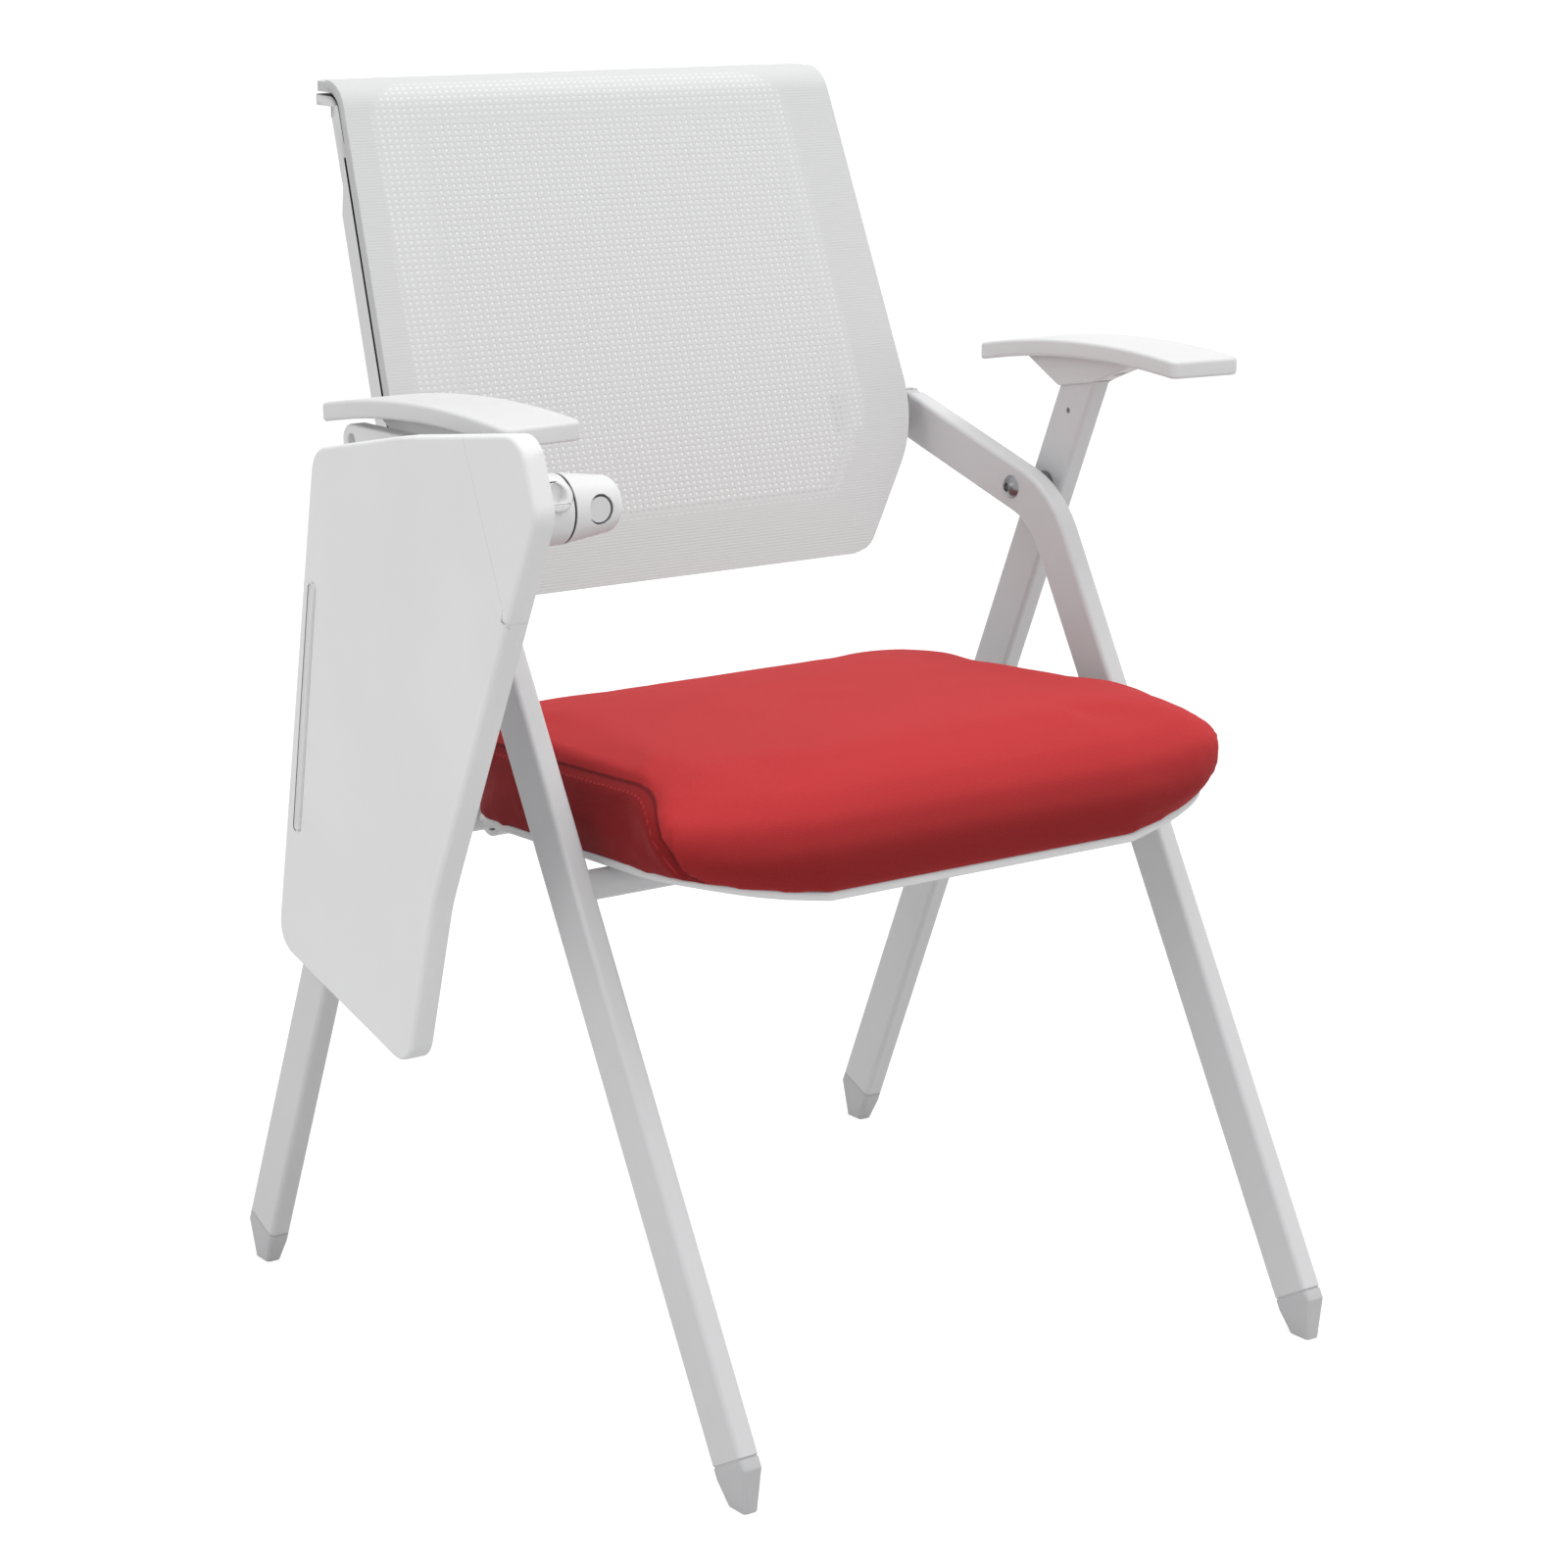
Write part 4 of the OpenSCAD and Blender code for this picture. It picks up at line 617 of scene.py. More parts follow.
def cap_finish():
    """White plastic with a painted shadow: a dark ring between the end cap and its bore, thicker on the +X
    side.
    """
    colours, sizes = chair_settings()
    low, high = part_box("flip_cap")
    radius = (high.x - low.x) / 2
    middle = ((low + high) / 2) - Vector((sizes.cap_shadow * 0.35, 0, 0))

    def ring(wire):
        place = wire.node("ShaderNodeVectorMath", {0: wire.object_place(), 1: middle}, operation="SUBTRACT")
        flat = wire.node("ShaderNodeVectorMath", {0: place.outputs[0], 1: (1, 0, 1)}, operation="MULTIPLY")
        away = wire.node("ShaderNodeVectorMath", {0: flat.outputs[0]}, operation="LENGTH").outputs["Value"]
        # Painted shadow near the cap's rim, thicker on the +X side
        return wire.ramp(away, radius - sizes.cap_shadow, radius - sizes.cap_shadow * 0.6)

    return draw_over(hard_finish("End cap", "white_plastic", **MOULDING), ring, rgba(colours.dark))


# Shapes

# Distances in metres within which points are one, and the angles of a flat face and of a sharp edge
MERGE = 2e-6
BEVEL_MERGE = 1e-6
FLAT_ANGLE = math.radians(0.02)
SHARP_ANGLE = math.radians(50)


def slot_of(node):
    return next(p["material_slot"] for p in frame["record"]["subparts"] if p["node"] == node)


def paint(*nodes):
    """Gives CAD nodes the materials of their slots."""
    for node in nodes:
        obj = NODES[node]
        if obj.material_slots:
            for place in obj.material_slots:
                place.material = finish(slot_of(node))
        else:
            obj.data.materials.append(finish(slot_of(node)))


def new_piece(name, bm, slot):
    """An object from a bmesh, with the slot's material, smooth and at the origin."""
    mesh = bpy.data.meshes.new(name)
    bm.to_mesh(mesh)
    bm.free()
    obj = bpy.data.objects.new(name, mesh)
    bpy.context.scene.collection.objects.link(obj)
    mesh.materials.append(finish(slot))
    mesh.shade_smooth()
    return obj


def merged(node):
    """A bmesh of a CAD node's triangles, joined at their corners."""
    bm = bmesh.new()
    bm.from_mesh(NODES[node].data)
    bmesh.ops.remove_doubles(bm, verts=bm.verts, dist=MERGE)
    return bm


def copy_of(node):
    """A bmesh of a CAD node's shape with its triangles joined to flat faces."""
    bm = merged(node)
    bmesh.ops.dissolve_limit(bm, angle_limit=FLAT_ANGLE, verts=bm.verts, edges=bm.edges)
    return bm


def soften(bm, radius, angle=34, segments=3, choose=None):
    """Rounds every edge sharper than the angle that choose() accepts."""
    sharp = [e for e in bm.edges if e.is_manifold and e.calc_face_angle(0) > math.radians(angle)
        and (choose is None or choose(e))]
    if not sharp:
        return
    bmesh.ops.bevel(bm, geom=sharp, offset=radius, offset_type="OFFSET", segments=segments, profile=0.5,
        affect="EDGES", clamp_overlap=False, material=-1)
    bmesh.ops.remove_doubles(bm, verts=bm.verts, dist=BEVEL_MERGE)


def even_normals(obj):
    """Keeps flat faces flat beside their rounded edges."""
    obj.data.set_sharp_from_angle(angle=SHARP_ANGLE)
    made = obj.modifiers.new("Flat faces", "WEIGHTED_NORMAL")
    made.keep_sharp = True
    made.weight = 60


def stand_in(node, body, bm):
    """A piece made from a bmesh, which replaces a CAD node on its body."""
    obj = new_piece(node + "_soft", bm, slot_of(node))
    even_normals(obj)
    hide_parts(node)
    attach(obj, body)
    return obj


def softened(node, body, radius, angle=34, segments=3, choose=None):
    """A copy of a CAD node with rounded edges, which replaces it."""
    bm = copy_of(node)
    soften(bm, radius, angle, segments, choose)
    return stand_in(node, body, bm)


def applied(obj):
    """The object's mesh with its modifiers worked in."""
    bpy.context.view_layer.update()
    graph = bpy.context.evaluated_depsgraph_get()
    made = bpy.data.meshes.new_from_object(obj.evaluated_get(graph))
    old = obj.data
    obj.modifiers.clear()
    obj.data = made
    bpy.data.meshes.remove(old)


def clamped(value):
    return max(0.0, min(1.0, value))


def smooth(value):
    t = clamped(value)
    return t * t * (3 - 2 * t)


# Backrest

# Metres, shares and counts: the fades are the widths over which the dotted field and the frame's cover end
MESH_COLUMNS, MESH_ROWS = 88, 132
MESH_LIFT = 0.0002
MESH_THICKNESS = 0.0008
FIELD_FADE = 0.004
FRAME_FADE_FACTOR = 4
LOWER_SIDE_SHARE = 0.8
ROLL_TAPER = 0.006
ROLL_FACING = 0.9
ROLL_TAIL_SHARE = 0.5
FIRST_ROW = 0.001
ROW_DIGITS = 6


def fillet(before, corner, after, radius):
    """(centre, first touch, second touch) of the arc that rounds a corner, as flat vectors."""
    u = (before - corner).normalized()
    v = (after - corner).normalized()
    half = math.acos(clamped((u.dot(v) + 1) / 2) * 2 - 1) / 2
    centre = corner + (u + v).normalized() * (radius / math.sin(half))
    run = radius / math.tan(half)
    return centre, corner + u * run, corner + v * run


def back_half_width(z, sizes):
    """Half of the backrest's width at height z, seen from the front."""
    low = Vector((sizes.back_low_half, sizes.back_z))
    mid = Vector((sizes.back_mid_half, sizes.back_mid_z))
    top = Vector((sizes.back_top_half, sizes.back_top_z + sizes.roll_radius))
    inner = Vector((0, sizes.back_z))
    c1, a1, b1 = fillet(inner, low, mid, sizes.back_low_round)
    c2, a2, b2 = fillet(low, mid, top, sizes.back_mid_round)
    if z <= b1.y:
        return c1.x + math.sqrt(max(0.0, sizes.back_low_round ** 2 - (z - c1.y) ** 2))
    if z <= a2.y:
        return b1.x + (a2.x - b1.x) * (z - b1.y) / (a2.y - b1.y)
    if z <= b2.y:
        return c2.x + math.sqrt(max(0.0, sizes.back_mid_round ** 2 - (z - c2.y) ** 2))
    return b2.x + (top.x - b2.x) * (z - b2.y) / (top.y - b2.y)


def back_flat(sizes):
    """Length of the straight front below the roll, and the angle that the roll turns through."""
    turn = math.pi / 2 - sizes.back_recline
    height = sizes.back_top_z - sizes.back_z
    return height / math.cos(sizes.back_recline) - sizes.roll_radius * math.tan(turn / 2), turn


def back_line(run, sizes):
    """Point and outward direction on the side view of the mesh, after a length from its lower edge."""
    lean = sizes.back_recline
    flat, turn = back_flat(sizes)
    along = Vector((math.sin(lean), math.cos(lean)))
    out = Vector((-math.cos(lean), math.sin(lean)))
    start = Vector((sizes.back_y, sizes.back_z))
    if run <= flat:
        return start + along * run, out
    centre = start + along * flat - out * sizes.roll_radius
    angle = min((run - flat) / sizes.roll_radius, turn)
    now = Vector((-math.cos(lean + angle), math.sin(lean + angle)))
    rest = max(0.0, run - flat - sizes.roll_radius * turn)
    return centre + now * sizes.roll_radius + Vector((rest, 0)), now


def back_run(sizes):
    """Length of the mesh from its lower edge over the roll."""
    flat, turn = back_flat(sizes)
    return flat + sizes.roll_radius * (turn + ROLL_TAIL_SHARE)


def band_distance(x, z, run, sizes):
    """How far a point of the mesh lies inside its dotted field, which ends in round corners at the top."""
    side = back_half_width(z, sizes) - abs(x + sizes.field_shift)
    if z < sizes.back_mid_z:
        side *= LOWER_SIDE_SHARE
    side -= sizes.side_band
    top = back_run(sizes) - sizes.roll_radius - run
    if side < sizes.field_corner and top < sizes.field_corner:
        side = top = sizes.field_corner - math.hypot(sizes.field_corner - side, sizes.field_corner - top)
    return min(side, top, z - sizes.back_z - sizes.low_band)


class CHAIR_OT_back_mesh(bpy.types.Operator):
    """Stretches the knitted mesh over the backrest's front frame."""

    bl_idname = "chair.back_mesh"
    bl_label = "Back mesh"

    def execute(self, context):
        sizes = context.scene.chair_sizes
        length = back_run(sizes)
        bm = bmesh.new()
        bmesh.ops.create_grid(bm, x_segments=MESH_COLUMNS, y_segments=MESH_ROWS, size=1.0, calc_uvs=False)
        band = bm.verts.layers.float.new("band")
        clear = bm.verts.layers.float.new("clear")
        places = {}
        for v in bm.verts:
            u, run = v.co.x, (v.co.y + 1) / 2 * length
            at, out = back_line(run, sizes)
            half = back_half_width(at.y if out.y < ROLL_FACING else sizes.back_top_z, sizes)
            past = clamped((run - (length - sizes.roll_radius)) / sizes.roll_radius)
            half -= ROLL_TAPER * past * past
            x = u * half
            field = band_distance(x, at.y, run, sizes)
            v[band] = smooth(0.5 - field / FIELD_FADE)
            inward = (half - abs(x) - sizes.frame_reach) / FRAME_FADE_FACTOR
            below_roll = sizes.back_top_z - sizes.roll_radius - at.y
            v[clear] = smooth(min(field, inward, below_roll) / FIELD_FADE)
            places[v] = (x, run, out)
            v.co = Vector((sizes.chair_middle + x, at.x, at.y)) + Vector((0, out.x, out.y)) * MESH_LIFT
        self.hem(bm, places, band, sizes)
        layer = bm.loops.layers.uv.new("Cloth")
        for face in bm.faces:
            for loop in face.loops:
                x, run, out = places[loop.vert]
                loop[layer].uv = (x, run)
        bmesh.ops.recalc_face_normals(bm, faces=bm.faces)
        obj = new_piece("back_mesh_cloth", bm, "mesh_fabric")
        if sum(p.normal.y * p.area for p in obj.data.polygons) > 0:
            obj.data.flip_normals()
        obj.data.set_sharp_from_angle(angle=SHARP_ANGLE)
        skin = obj.modifiers.new("Cloth thickness", "SOLIDIFY")
        skin.thickness = MESH_THICKNESS
        skin.offset = -1.0
        obj.data.materials.append(mesh_finish("Knitted mesh, back face", 1.0))
        skin.material_offset = 1
        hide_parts("back_mesh")
        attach(obj, "front_frame")
        return {"FINISHED"}

    def cut_area(self, places):
        """Area of the flat sheet without its hems, row by row."""
        widest = {}
        for x, run, out in places.values():
            row = round(run, ROW_DIGITS)
            widest[row] = max(widest.get(row, 0.0), abs(x))
        rows = sorted(widest)
        return sum((widest[a] + widest[b]) * (b - a) for a, b in zip(rows, rows[1:]))

    def hem(self, bm, places, band, sizes):
        """Wraps the mesh back over the sides, the lower edge and the roll's end of the frame."""
        up = Vector((0, math.sin(sizes.back_recline), math.cos(sizes.back_recline)))
        edge = [e for e in bm.edges if e.is_boundary]
        made = bmesh.ops.extrude_edge_only(bm, edges=edge)["geom"]
        twins = {}
        for new in [v for v in made if isinstance(v, bmesh.types.BMVert)]:
            old = next((e.other_vert(new) for e in new.link_edges if e.other_vert(new) in places), None)
            if old is not None:
                twins[new] = old
        for new, old in twins.items():
            x, run, out = places[old]
            back = -Vector((0, out.x, out.y)) * sizes.hem_depth
            if run < FIRST_ROW:
                back += up * sizes.hem_rise
            new.co = old.co + back
            new[band] = 1.0
            places[new] = (x + math.copysign(sizes.hem_depth, x), run, out)


def back_depth(y, z, sizes):
    """How far a point lies behind the front face of the backrest."""
    lean = sizes.back_recline
    end, out = back_line(back_flat(sizes)[0], sizes)
    centre = end - out * sizes.roll_radius
    point = Vector((y, z)) - centre
    if point.dot(Vector((math.sin(lean), math.cos(lean)))) < 0:
        return sizes.roll_radius - point.dot(out)
    if point.x > 0:
        return sizes.roll_radius - point.y
    return sizes.roll_radius - point.length


def paint_gap_shade(obj, sizes):
    """Painted shade: dark plastic on the faces that look into the gap between the backrest's two frames,
    where shade falls.
    """
    obj.data.materials.append(finish("dark_plastic"))
    for face in obj.data.polygons:
        depth = back_depth(face.center.y, face.center.z, sizes)
        if sizes.gap_front < depth < sizes.gap_back:
            face.material_index = 1


class CHAIR_OT_back_frames(bpy.types.Operator):
    """Paints shade into the gap between the backrest's two frames and rounds its lugs."""

    bl_idname = "chair.back_frames"
    bl_label = "Back frames"

    def execute(self, context):
        sizes = context.scene.chair_sizes
        for node in ("back_mesh_frame", "back_rear_frame"):
            paint_gap_shade(stand_in(node, "front_frame", copy_of(node)), sizes)
        for node in ("back_lug_left", "back_lug_right"):
            softened(node, "front_frame", sizes.cast_edge)
        paint("back_screws")
        return {"FINISHED"}


# Seat cushion

# Heights are metres above the cushion's foot: each effect starts at its FROM and ends over its RISE
CUSHION_HEIGHT = 0.062
SHRINK_RISE = 0.012
RELAX_RISE, RELAX_LEAST, RELAX_ROUNDS = 0.02, 0.25, 8
SNAP_FROM, SNAP_RISE = 0.002, 0.006
HELD_SHARE, HELD_RISE = 1.2, 0.012
FOAM_PRESSURE = 4.0
CLOTH_QUALITY = 4
SWELL_FRAMES = 20
SWELL_EVENINGS = 3
SEAM_SLOPE_STEP = 0.001
SEAM_CURVE = 2.2
SEAM_FACING, SEAM_FADE = 0.35, 0.3
SEAM_OVERRUN = 0.004
NO_SEAM = 0.05
PAINTED_SHADE_FADE = 0.002
# Where the painted shade low down on the cushion starts and fades out
LOW_SHADE_FROM, LOW_SHADE_RISE = 0.002, 0.036
PUFF_HEIGHT, PUFF_PLACE, PUFF_WIDTH = 0.0012, 0.011, 0.007
RIM_FACING = 0.3
FOOT_RISE = 0.024
DROP_FROM, DROP_RISE = 0.001, 0.012


def to_seat(sizes):
    """Matrix from the chair's frame to the seat's frame."""
    lift = Matrix.Translation((-sizes.chair_middle, CHAIR_FORWARD, -sizes.seat_height))
    return Matrix.Rotation(sizes.seat_tilt, 4, "X") @ lift


def seam_height(y, sizes):
    """Height of the side seam at depth y, which turns down at the front corner."""
    share = sizes.seam_share
    if y <= sizes.seam_bend_y:
        t = clamped((sizes.seam_bend_y - y) / (sizes.seam_bend_y - sizes.seam_end_y))
        share *= math.sqrt(max(0.0, 1 - t ** SEAM_CURVE))
    return share * CUSHION_HEIGHT


class CHAIR_OT_cushion(bpy.types.Operator):
    """Swells the seat cushion, sews its side seam and covers it in cloth."""

    bl_idname = "chair.cushion"
    bl_label = "Seat cushion"

    def execute(self, context):
        sizes = context.scene.chair_sizes
        bm = merged("seat_cushion")
        into = to_seat(sizes)
        for v in bm.verts:
            p = into @ v.co
            v.co -= v.normal * sizes.cushion_shrink * clamped(p.z / SHRINK_RISE)
        surface = BVHTree.FromBMesh(bm)
        obj = new_piece("seat_cushion_cover", bm, "red_fabric")
        self.remesh(obj, surface, sizes, into)
        self.swell(context, obj, sizes, into)
        self.sew(obj, sizes, into)
        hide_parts("seat_cushion")
        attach(obj, "seat")
        return {"FINISHED"}

    def remesh(self, obj, surface, sizes, into):
        """Even faces all over the cushion, relaxed above its lower edge, which stays on the foam's own."""
        skin = obj.modifiers.new("Even faces", "REMESH")
        skin.mode = "VOXEL"
        skin.voxel_size = sizes.cushion_grain
        applied(obj)
        free = obj.vertex_groups.new(name="Free")
        for v in obj.data.vertices:
            rise = smooth((into @ v.co).z / RELAX_RISE)
            free.add([v.index], RELAX_LEAST + (1 - RELAX_LEAST) * rise, "REPLACE")
        relax = obj.modifiers.new("Relax", "SMOOTH")
        relax.factor = 0.5
        relax.iterations = RELAX_ROUNDS
        relax.vertex_group = "Free"
        applied(obj)
        obj.vertex_groups.clear()
        for v in obj.data.vertices:
            share = 1 - smooth(((into @ v.co).z - SNAP_FROM) / SNAP_RISE)
            if share > 0:
                v.co = v.co.lerp(surface.find_nearest(v.co)[0], share)

    def swell(self, context, obj, sizes, into):
        """Foam pressure pushes the cover out, as far as the cap."""
        scene = context.scene
        rest = [v.co.copy() for v in obj.data.vertices]
        held = obj.vertex_groups.new(name="Held")
        for v in obj.data.vertices:
            p = into @ v.co
            held.add([v.index], clamped(HELD_SHARE - p.z / HELD_RISE), "REPLACE")
        cloth = obj.modifiers.new("Foam", "CLOTH")
        cloth.settings.use_pressure = True
        cloth.settings.uniform_pressure_force = FOAM_PRESSURE
        cloth.settings.effector_weights.gravity = 0.0
        cloth.settings.vertex_group_mass = "Held"
        cloth.settings.quality = CLOTH_QUALITY
        cloth.point_cache.frame_start = 1
        cloth.point_cache.frame_end = SWELL_FRAMES
        for number in range(1, SWELL_FRAMES + 1):
            scene.frame_set(number)
        graph = context.evaluated_depsgraph_get()
        moved = [v.co.copy() for v in obj.evaluated_get(graph).data.vertices]
        obj.modifiers.clear()
        obj.vertex_groups.clear()
        scene.frame_set(1)
        ways = []
        for start, end in zip(rest, moved):
            way = end - start
            ways.append(way * (sizes.cushion_swell / max(sizes.cushion_swell, way.length)))
        around = [[] for start in rest]
        for a, b in (edge.vertices for edge in obj.data.edges):
            around[a].append(b)
            around[b].append(a)
        for again in range(SWELL_EVENINGS):
            means = [sum((ways[n] for n in near), Vector()) / len(near) for near in around]
            ways = [(way + mean) / 2 for way, mean in zip(ways, means)]
        for v, start, way in zip(obj.data.vertices, rest, ways):
            v.co = start + way

    def sew(self, obj, sizes, into):
        """Finer faces, the seam's groove with its puffed sides, and the rim over the pan."""
        finer = obj.modifiers.new("Finer faces", "SUBSURF")
        finer.levels = finer.render_levels = 1
        applied(obj)
        seam, run, panel, low = (obj.data.attributes.new(name, "FLOAT", "POINT")
            for name in ("seam", "seam_run", "panel", "low"))
        moves = []
        for v in obj.data.vertices:
            p, n = into @ v.co, into.to_3x3() @ v.normal
            side = math.hypot(n.x, max(0.0, n.y))
            rise = seam_height(p.y + SEAM_SLOPE_STEP, sizes) - seam_height(p.y - SEAM_SLOPE_STEP, sizes)
            slope = rise / (2 * SEAM_SLOPE_STEP)
            gap = (p.z - seam_height(p.y, sizes)) / math.sqrt(1 + slope * slope)
            if side < SEAM_FACING or p.y < sizes.seam_end_y - SEAM_OVERRUN:
                gap = NO_SEAM
            seam.data[v.index].value = -gap
            # panel: where shade is painted on the sides below the seam
            panel.data[v.index].value = smooth(0.5 - gap / PAINTED_SHADE_FADE)
            # low: how much painted shade an upright face takes near the cushion's foot
            low.data[v.index].value = math.hypot(n.x, n.y) * (1 - smooth((p.z - LOW_SHADE_FROM) / LOW_SHADE_RISE))
            run.data[v.index].value = p.y if abs(n.x) > abs(n.y) else p.x
            pull = -sizes.seam_depth * math.exp(-(gap / sizes.seam_width) ** 2)
            puff = PUFF_HEIGHT * math.exp(-((abs(gap) - PUFF_PLACE) / PUFF_WIDTH) ** 2)
            move = v.normal.copy() * ((pull + puff) * smooth((side - SEAM_FACING) / SEAM_FADE))
            flat = Vector((v.normal.x, v.normal.y, 0))
            if flat.length > RIM_FACING:
                move += flat.normalized() * (sizes.cushion_foot * (1 - smooth(p.z / FOOT_RISE)))
                move.z -= sizes.cushion_drop * (1 - smooth((p.z - DROP_FROM) / DROP_RISE))
            moves.append(move)
        for v, move in zip(obj.data.vertices, moves):
            v.co += move
        self.lay_cloth(obj, into)
        obj.data.shade_smooth()

    def lay_cloth(self, obj, into):
        """The cloth's map, flat from the side that each face looks to."""
        layer = obj.data.uv_layers.new(name="Cloth")
        for face in obj.data.polygons:
            n = into.to_3x3() @ face.normal
            for index in face.loop_indices:
                p = into @ obj.data.vertices[obj.data.loops[index].vertex_index].co
                if abs(n.z) > max(abs(n.x), abs(n.y)):
                    layer.data[index].uv = (p.x, p.y)
                elif abs(n.x) > abs(n.y):
                    layer.data[index].uv = (p.y, p.z)
                else:
                    layer.data[index].uv = (p.x, p.z)


class CHAIR_OT_seat_base(bpy.types.Operator):
    """Rounds the rim of the seat pan and finishes what carries the seat."""

    bl_idname = "chair.seat_base"
    bl_label = "Seat base"

    def execute(self, context):
        sizes = context.scene.chair_sizes
        softened("seat_pan", "seat", sizes.fine_edge, angle=SHALLOW_EDGE)
        paint("seat_board", "hinge_lugs", "hinge_lug_screws", "seat_bumpers")
        return {"FINISHED"}


# Frame, arms and tablet

# Leans in degrees from the upright, places in metres along the leg from the floor
FRONT_LEAN, REAR_LEAN = 29.0, -23.2
FOOT_DEPTH = 0.285
FOOT_COLLAR = 0.0335
GROOVE_PLACE = 0.0330
GROOVE_STEPS = (-0.0009, 0.0, 0.0009)
GROOVE_CORE = 0.006
CUT_LEAST = 1e-6
ON_CUT = 1e-5
TABLET_FACE = 0.0022


class CHAIR_OT_frame(bpy.types.Operator):
    """Finishes the tubes, bolts and bushes."""

    bl_idname = "chair.frame"
    bl_label = "Frame"

    def execute(self, context):
        paint("front_tube_left", "front_tube_right", "front_cross_tube", "rear_leg_left", "rear_leg_right",
            "rear_cross_tube", "pivot_bolts", "pivot_spacers", "pivot_nuts", "pivot_bushes", "hinge_sleeves")
        return {"FINISHED"}


class CHAIR_OT_feet(bpy.types.Operator):
    """Rounds the feet and cuts the groove below each collar."""

    bl_idname = "chair.feet"
    bl_label = "Feet"

    def execute(self, context):
        sizes = context.scene.chair_sizes
        for end, lean, depth in (("front", FRONT_LEAN, -FOOT_DEPTH), ("rear", REAR_LEAN, FOOT_DEPTH)):
            for side in ("left", "right"):
                self.foot(end + "_foot_" + side, end + "_frame", lean, depth, sizes)
        return {"FINISHED"}

    def foot(self, node, body, lean, depth, sizes):
        """One foot, with its groove at a distance along the leg from where the leg meets the floor."""
        low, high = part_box(node)
        axis = Vector((0, math.sin(math.radians(lean)), math.cos(math.radians(lean))))
        floor = Vector(((low.x + high.x) / 2, depth - CHAIR_FORWARD, 0))

        def below_collar(edge):
            middle = sum((v.co for v in edge.verts), Vector()) / 2
            return (middle - floor).dot(axis) < FOOT_COLLAR

        bm = copy_of(node)
        soften(bm, sizes.fine_edge, angle=SHALLOW_EDGE, choose=below_collar)
        for step in GROOVE_STEPS:
            bmesh.ops.bisect_plane(bm, geom=bm.verts[:] + bm.edges[:] + bm.faces[:], dist=CUT_LEAST,
                plane_co=floor + axis * (GROOVE_PLACE + step), plane_no=axis)
        for v in bm.verts:
            p = v.co - floor
            out = p - axis * p.dot(axis)
            if abs(p.dot(axis) - GROOVE_PLACE) < ON_CUT and out.length > GROOVE_CORE:
                v.co -= out.normalized() * sizes.foot_groove
        stand_in(node, body, bm)


class CHAIR_OT_arms(bpy.types.Operator):
    """Rounds the arm pads and their brackets."""

    bl_idname = "chair.arms"
    bl_label = "Arms"

    def execute(self, context):
        sizes = context.scene.chair_sizes
        for side in ("left", "right"):
            softened("arm_pad_" + side, "rear_frame", sizes.pad_edge, segments=4)
            softened("arm_bracket_" + side, "rear_frame", sizes.cast_edge)
        paint("arm_pad_screws", "bracket_screw")
        return {"FINISHED"}


class CHAIR_OT_tablet(bpy.types.Operator):
    """Rounds the writing tablet's edges."""

    bl_idname = "chair.tablet"
    bl_label = "Tablet"

    def execute(self, context):
        sizes = context.scene.chair_sizes
        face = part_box("tablet_tray")[0].x + TABLET_FACE
        tray = softened("tablet_tray", "tablet", sizes.tablet_edge, segments=4,
            choose=lambda edge: sum(v.co.x for v in edge.verts) / 2 < face)
        # The tray's material carries a painted shade line along its crease
        tray.data.materials[0] = tablet_finish()
        softened("tablet_cover", "tablet", sizes.fine_edge)
        paint("tablet_screws")
        return {"FINISHED"}


class CHAIR_OT_tablet_joint(bpy.types.Operator):
    """Finishes the arm, block and rotor that carry the tablet."""

    bl_idname = "chair.tablet_joint"
    bl_label = "Tablet joint"

    def execute(self, context):
        sizes = context.scene.chair_sizes
        softened("tablet_arm", "rear_frame", sizes.cast_edge)
        softened("flip_block", "flip_block", sizes.fine_edge)
        softened("swing_rotor", "tablet", sizes.cast_edge)
        softened("rotor_plate", "tablet", sizes.fine_edge)
        paint("tablet_arm_screws", "flip_pin", "flip_cap", "swing_shaft", "swing_washer", "swing_nut")
        # The end cap's material carries a painted shadow ring
        for place in NODES["flip_cap"].material_slots:
            place.material = cap_finish()
        return {"FINISHED"}


# Stage

# Millimetres for the sensor, and metres for places and sizes
SENSOR_WIDTH = 36.0
FAR_CLIP = 200.0
WHITE = (1, 1, 1, 1)
FLOOR_GREY = (0.5, 0.5, 0.5, 1)
FLOOR_GLOW = 0.72
FLOOR_RADIUS = 40.0
TOP_PLACE, TOP_AIM, TOP_SIZE = (0.8, -0.5, 3.5), (0.0, 0.0, 0.4), 2.6
FRONT_PLACE, SIDE_PLACE, CHAIR_AIM = (1.4, -3.4, 1.3), (-3.6, -0.5, 1.5), (0.0, 0.0, 0.45)
SIDE_SIZE = 1.8


def area_light(name, place, aim, size, power):
    """A round lamp that looks at a place."""
    data = bpy.data.lights.new(name, "AREA")
    data.shape = "DISK"
    data.size = size
    data.energy = power
    lamp = bpy.data.objects.new(name, data)
    lamp.location = place
    lamp.rotation_euler = (Vector(aim) - Vector(place)).to_track_quat("-Z", "Y").to_euler()
    bpy.context.scene.collection.objects.link(lamp)


def photo_camera(studio):
    """The camera from which the photograph was taken."""
    data = bpy.data.cameras.new("Camera")
    data.sensor_width = SENSOR_WIDTH
    data.lens = studio.camera_lens
    data.clip_end = FAR_CLIP
    camera = bpy.data.objects.new("Camera", data)
    turn, slope, roll = studio.camera_turn
    camera.matrix_world = (Matrix.Translation(studio.camera_place) @ Matrix.Rotation(turn, 4, "Z")
        @ Matrix.Rotation(math.pi / 2 - slope, 4, "X") @ Matrix.Rotation(roll, 4, "Z"))
    return camera


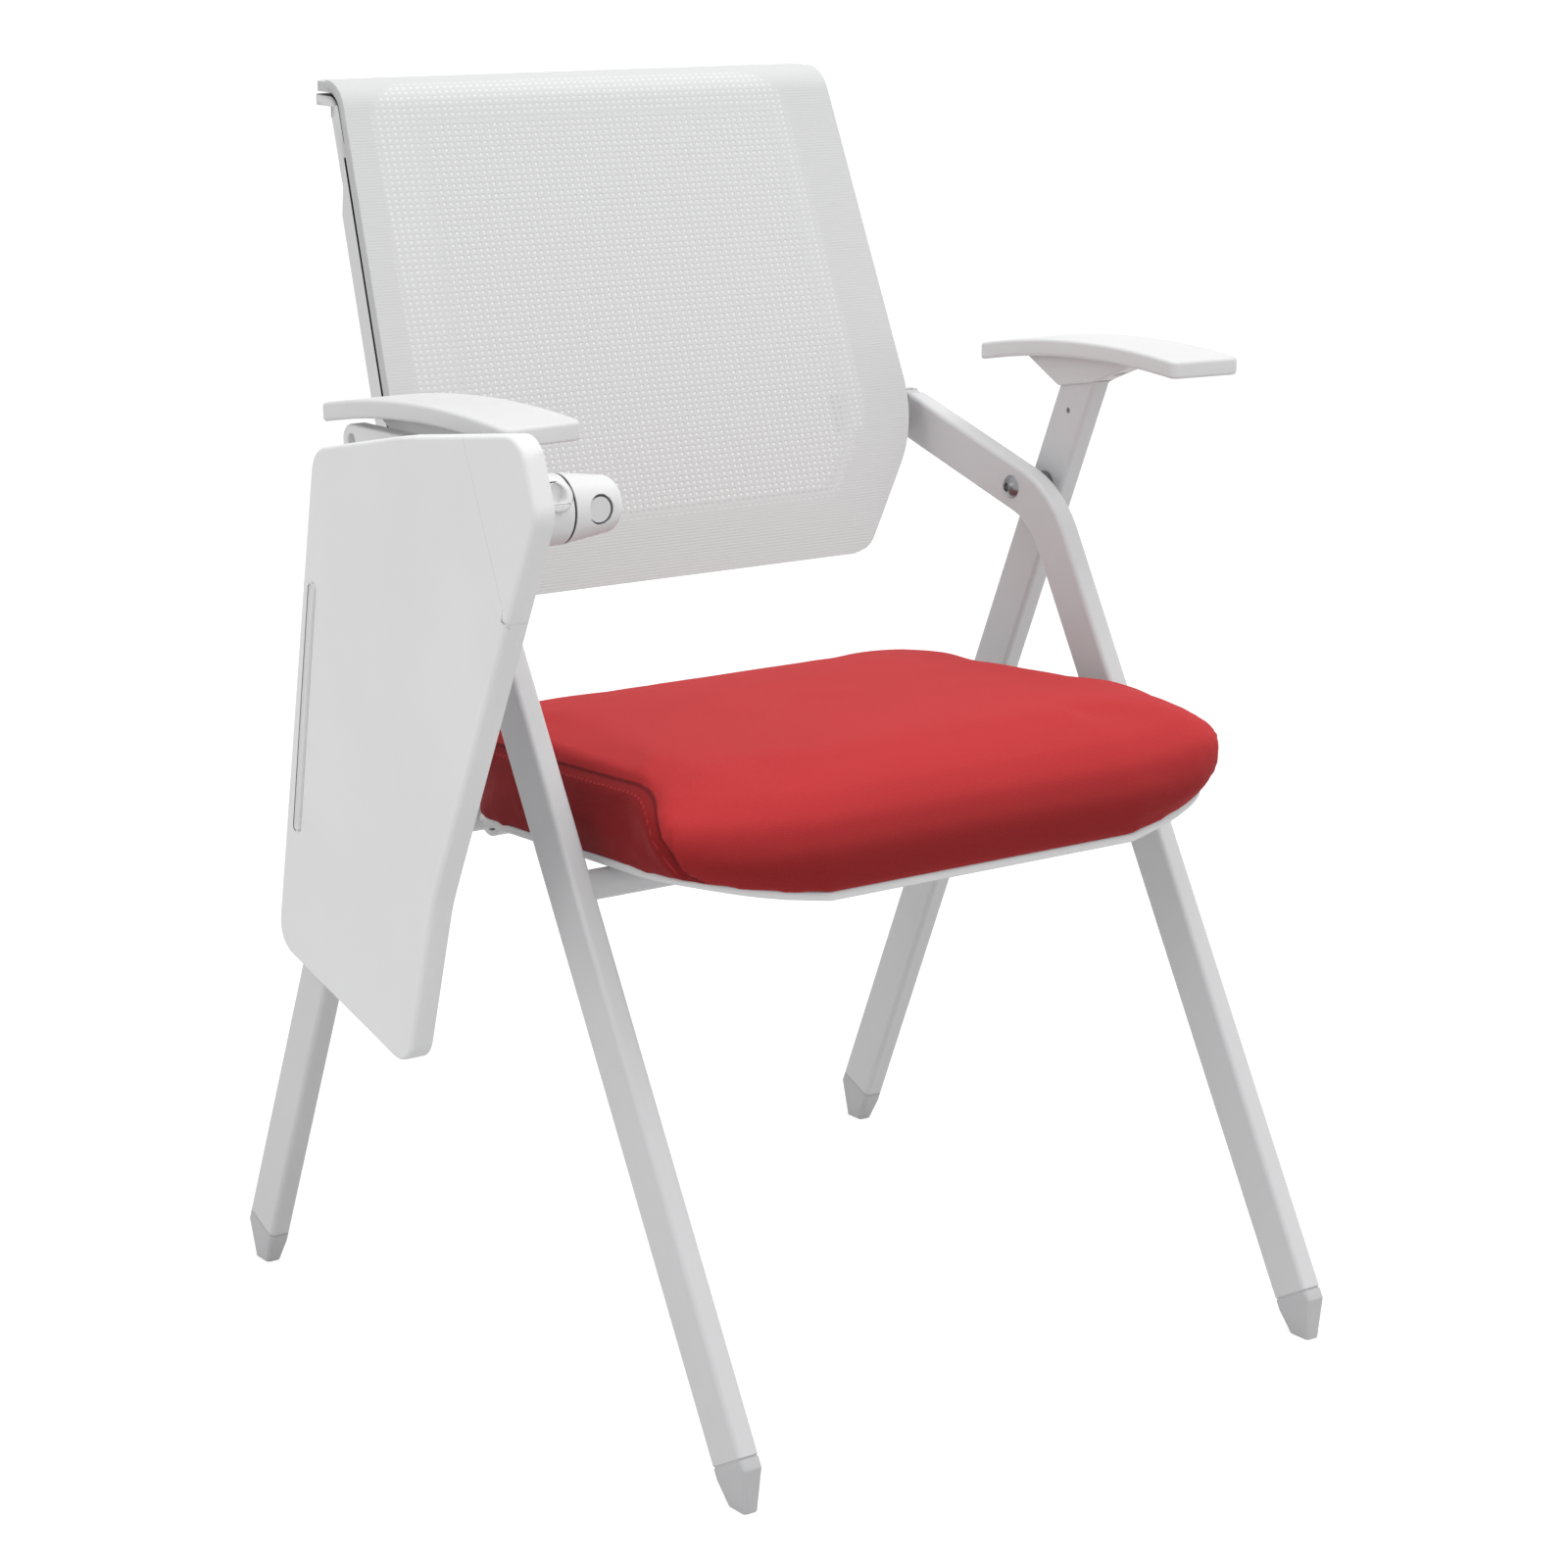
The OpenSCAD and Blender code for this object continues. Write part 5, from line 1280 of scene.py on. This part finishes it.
def even_sky(studio):
    """A world that is white where it is seen, and lights the chair at the studio's strength."""
    world = bpy.data.worlds.new("Studio")
    world.use_nodes = True
    world.node_tree.nodes.clear()
    wire = Wiring(world.node_tree)
    strength = wire.between(wire.seen(), studio.sky_light, 1.0)
    sky = wire.node("ShaderNodeBackground", {"Color": WHITE, "Strength": strength})
    wire.node("ShaderNodeOutputWorld", {"Surface": sky.outputs[0]})
    return world


def floor_finish():
    """Pale floor that keeps the chair's shadow and reaches white where it is seen."""
    made = bpy.data.materials.new("Pale floor")
    made.use_nodes = True
    made.node_tree.nodes.clear()
    wire = Wiring(made.node_tree)
    plain = wire.node("ShaderNodeBsdfDiffuse", {"Color": FLOOR_GREY})
    glow = wire.node("ShaderNodeEmission", {"Color": WHITE, "Strength": wire.times(wire.seen(), FLOOR_GLOW)})
    both = wire.node("ShaderNodeAddShader", {0: plain.outputs[0], 1: glow.outputs[0]})
    wire.node("ShaderNodeOutputMaterial", {"Surface": both.outputs[0]})
    return made


def pale_floor():
    """A wide round floor under the chair."""
    bm = bmesh.new()
    bmesh.ops.create_circle(bm, cap_ends=True, radius=FLOOR_RADIUS, segments=64)
    mesh = bpy.data.meshes.new("Floor")
    bm.to_mesh(mesh)
    bm.free()
    mesh.materials.append(floor_finish())
    return bpy.data.objects.new("Floor", mesh)


class CHAIR_OT_stage(bpy.types.Operator):
    """Places the floor, the lights and the camera."""

    bl_idname = "chair.stage"
    bl_label = "Stage"

    def execute(self, context):
        studio, scene = context.scene.chair_studio, context.scene
        scene.camera = photo_camera(studio)
        scene.collection.objects.link(scene.camera)
        scene.world = even_sky(studio)
        scene.view_settings.view_transform = "Standard"
        area_light("Top light", TOP_PLACE, TOP_AIM, TOP_SIZE, studio.top_light)
        area_light("Front light", FRONT_PLACE, CHAIR_AIM, SIDE_SIZE, studio.front_light)
        area_light("Side light", SIDE_PLACE, CHAIR_AIM, SIDE_SIZE, studio.side_light)
        floor = pale_floor()
        scene.collection.objects.link(floor)
        return {"FINISHED"}


class CHAIR_PT_panel(bpy.types.Panel):
    """Lists the chair's pieces."""

    bl_idname = "CHAIR_PT_panel"
    bl_label = "Folding chair"
    bl_space_type = "VIEW_3D"
    bl_region_type = "UI"
    bl_category = "Chair"

    def draw(self, context):
        for piece in OPERATORS:
            self.layout.operator(piece.bl_idname)


OPERATORS = (CHAIR_OT_stage, CHAIR_OT_frame, CHAIR_OT_feet, CHAIR_OT_back_frames, CHAIR_OT_back_mesh,
    CHAIR_OT_cushion, CHAIR_OT_seat_base, CHAIR_OT_arms, CHAIR_OT_tablet, CHAIR_OT_tablet_joint)
CLASSES = (ChairSizes, ChairColours, ChairStudio) + OPERATORS + (CHAIR_PT_panel,)


def register():
    for item in CLASSES:
        bpy.utils.register_class(item)
    bpy.types.Scene.chair_sizes = PointerProperty(type=ChairSizes)
    bpy.types.Scene.chair_colours = PointerProperty(type=ChairColours)
    bpy.types.Scene.chair_studio = PointerProperty(type=ChairStudio)


def unregister():
    del bpy.types.Scene.chair_sizes
    del bpy.types.Scene.chair_colours
    del bpy.types.Scene.chair_studio
    for item in reversed(CLASSES):
        bpy.utils.unregister_class(item)


def main():
    register()
    bpy.ops.chair.stage()
    bpy.ops.chair.frame()
    bpy.ops.chair.feet()
    bpy.ops.chair.back_frames()
    bpy.ops.chair.back_mesh()
    bpy.ops.chair.cushion()
    bpy.ops.chair.seat_base()
    bpy.ops.chair.arms()
    bpy.ops.chair.tablet()
    bpy.ops.chair.tablet_joint()


if __name__ == "__main__":
    main()
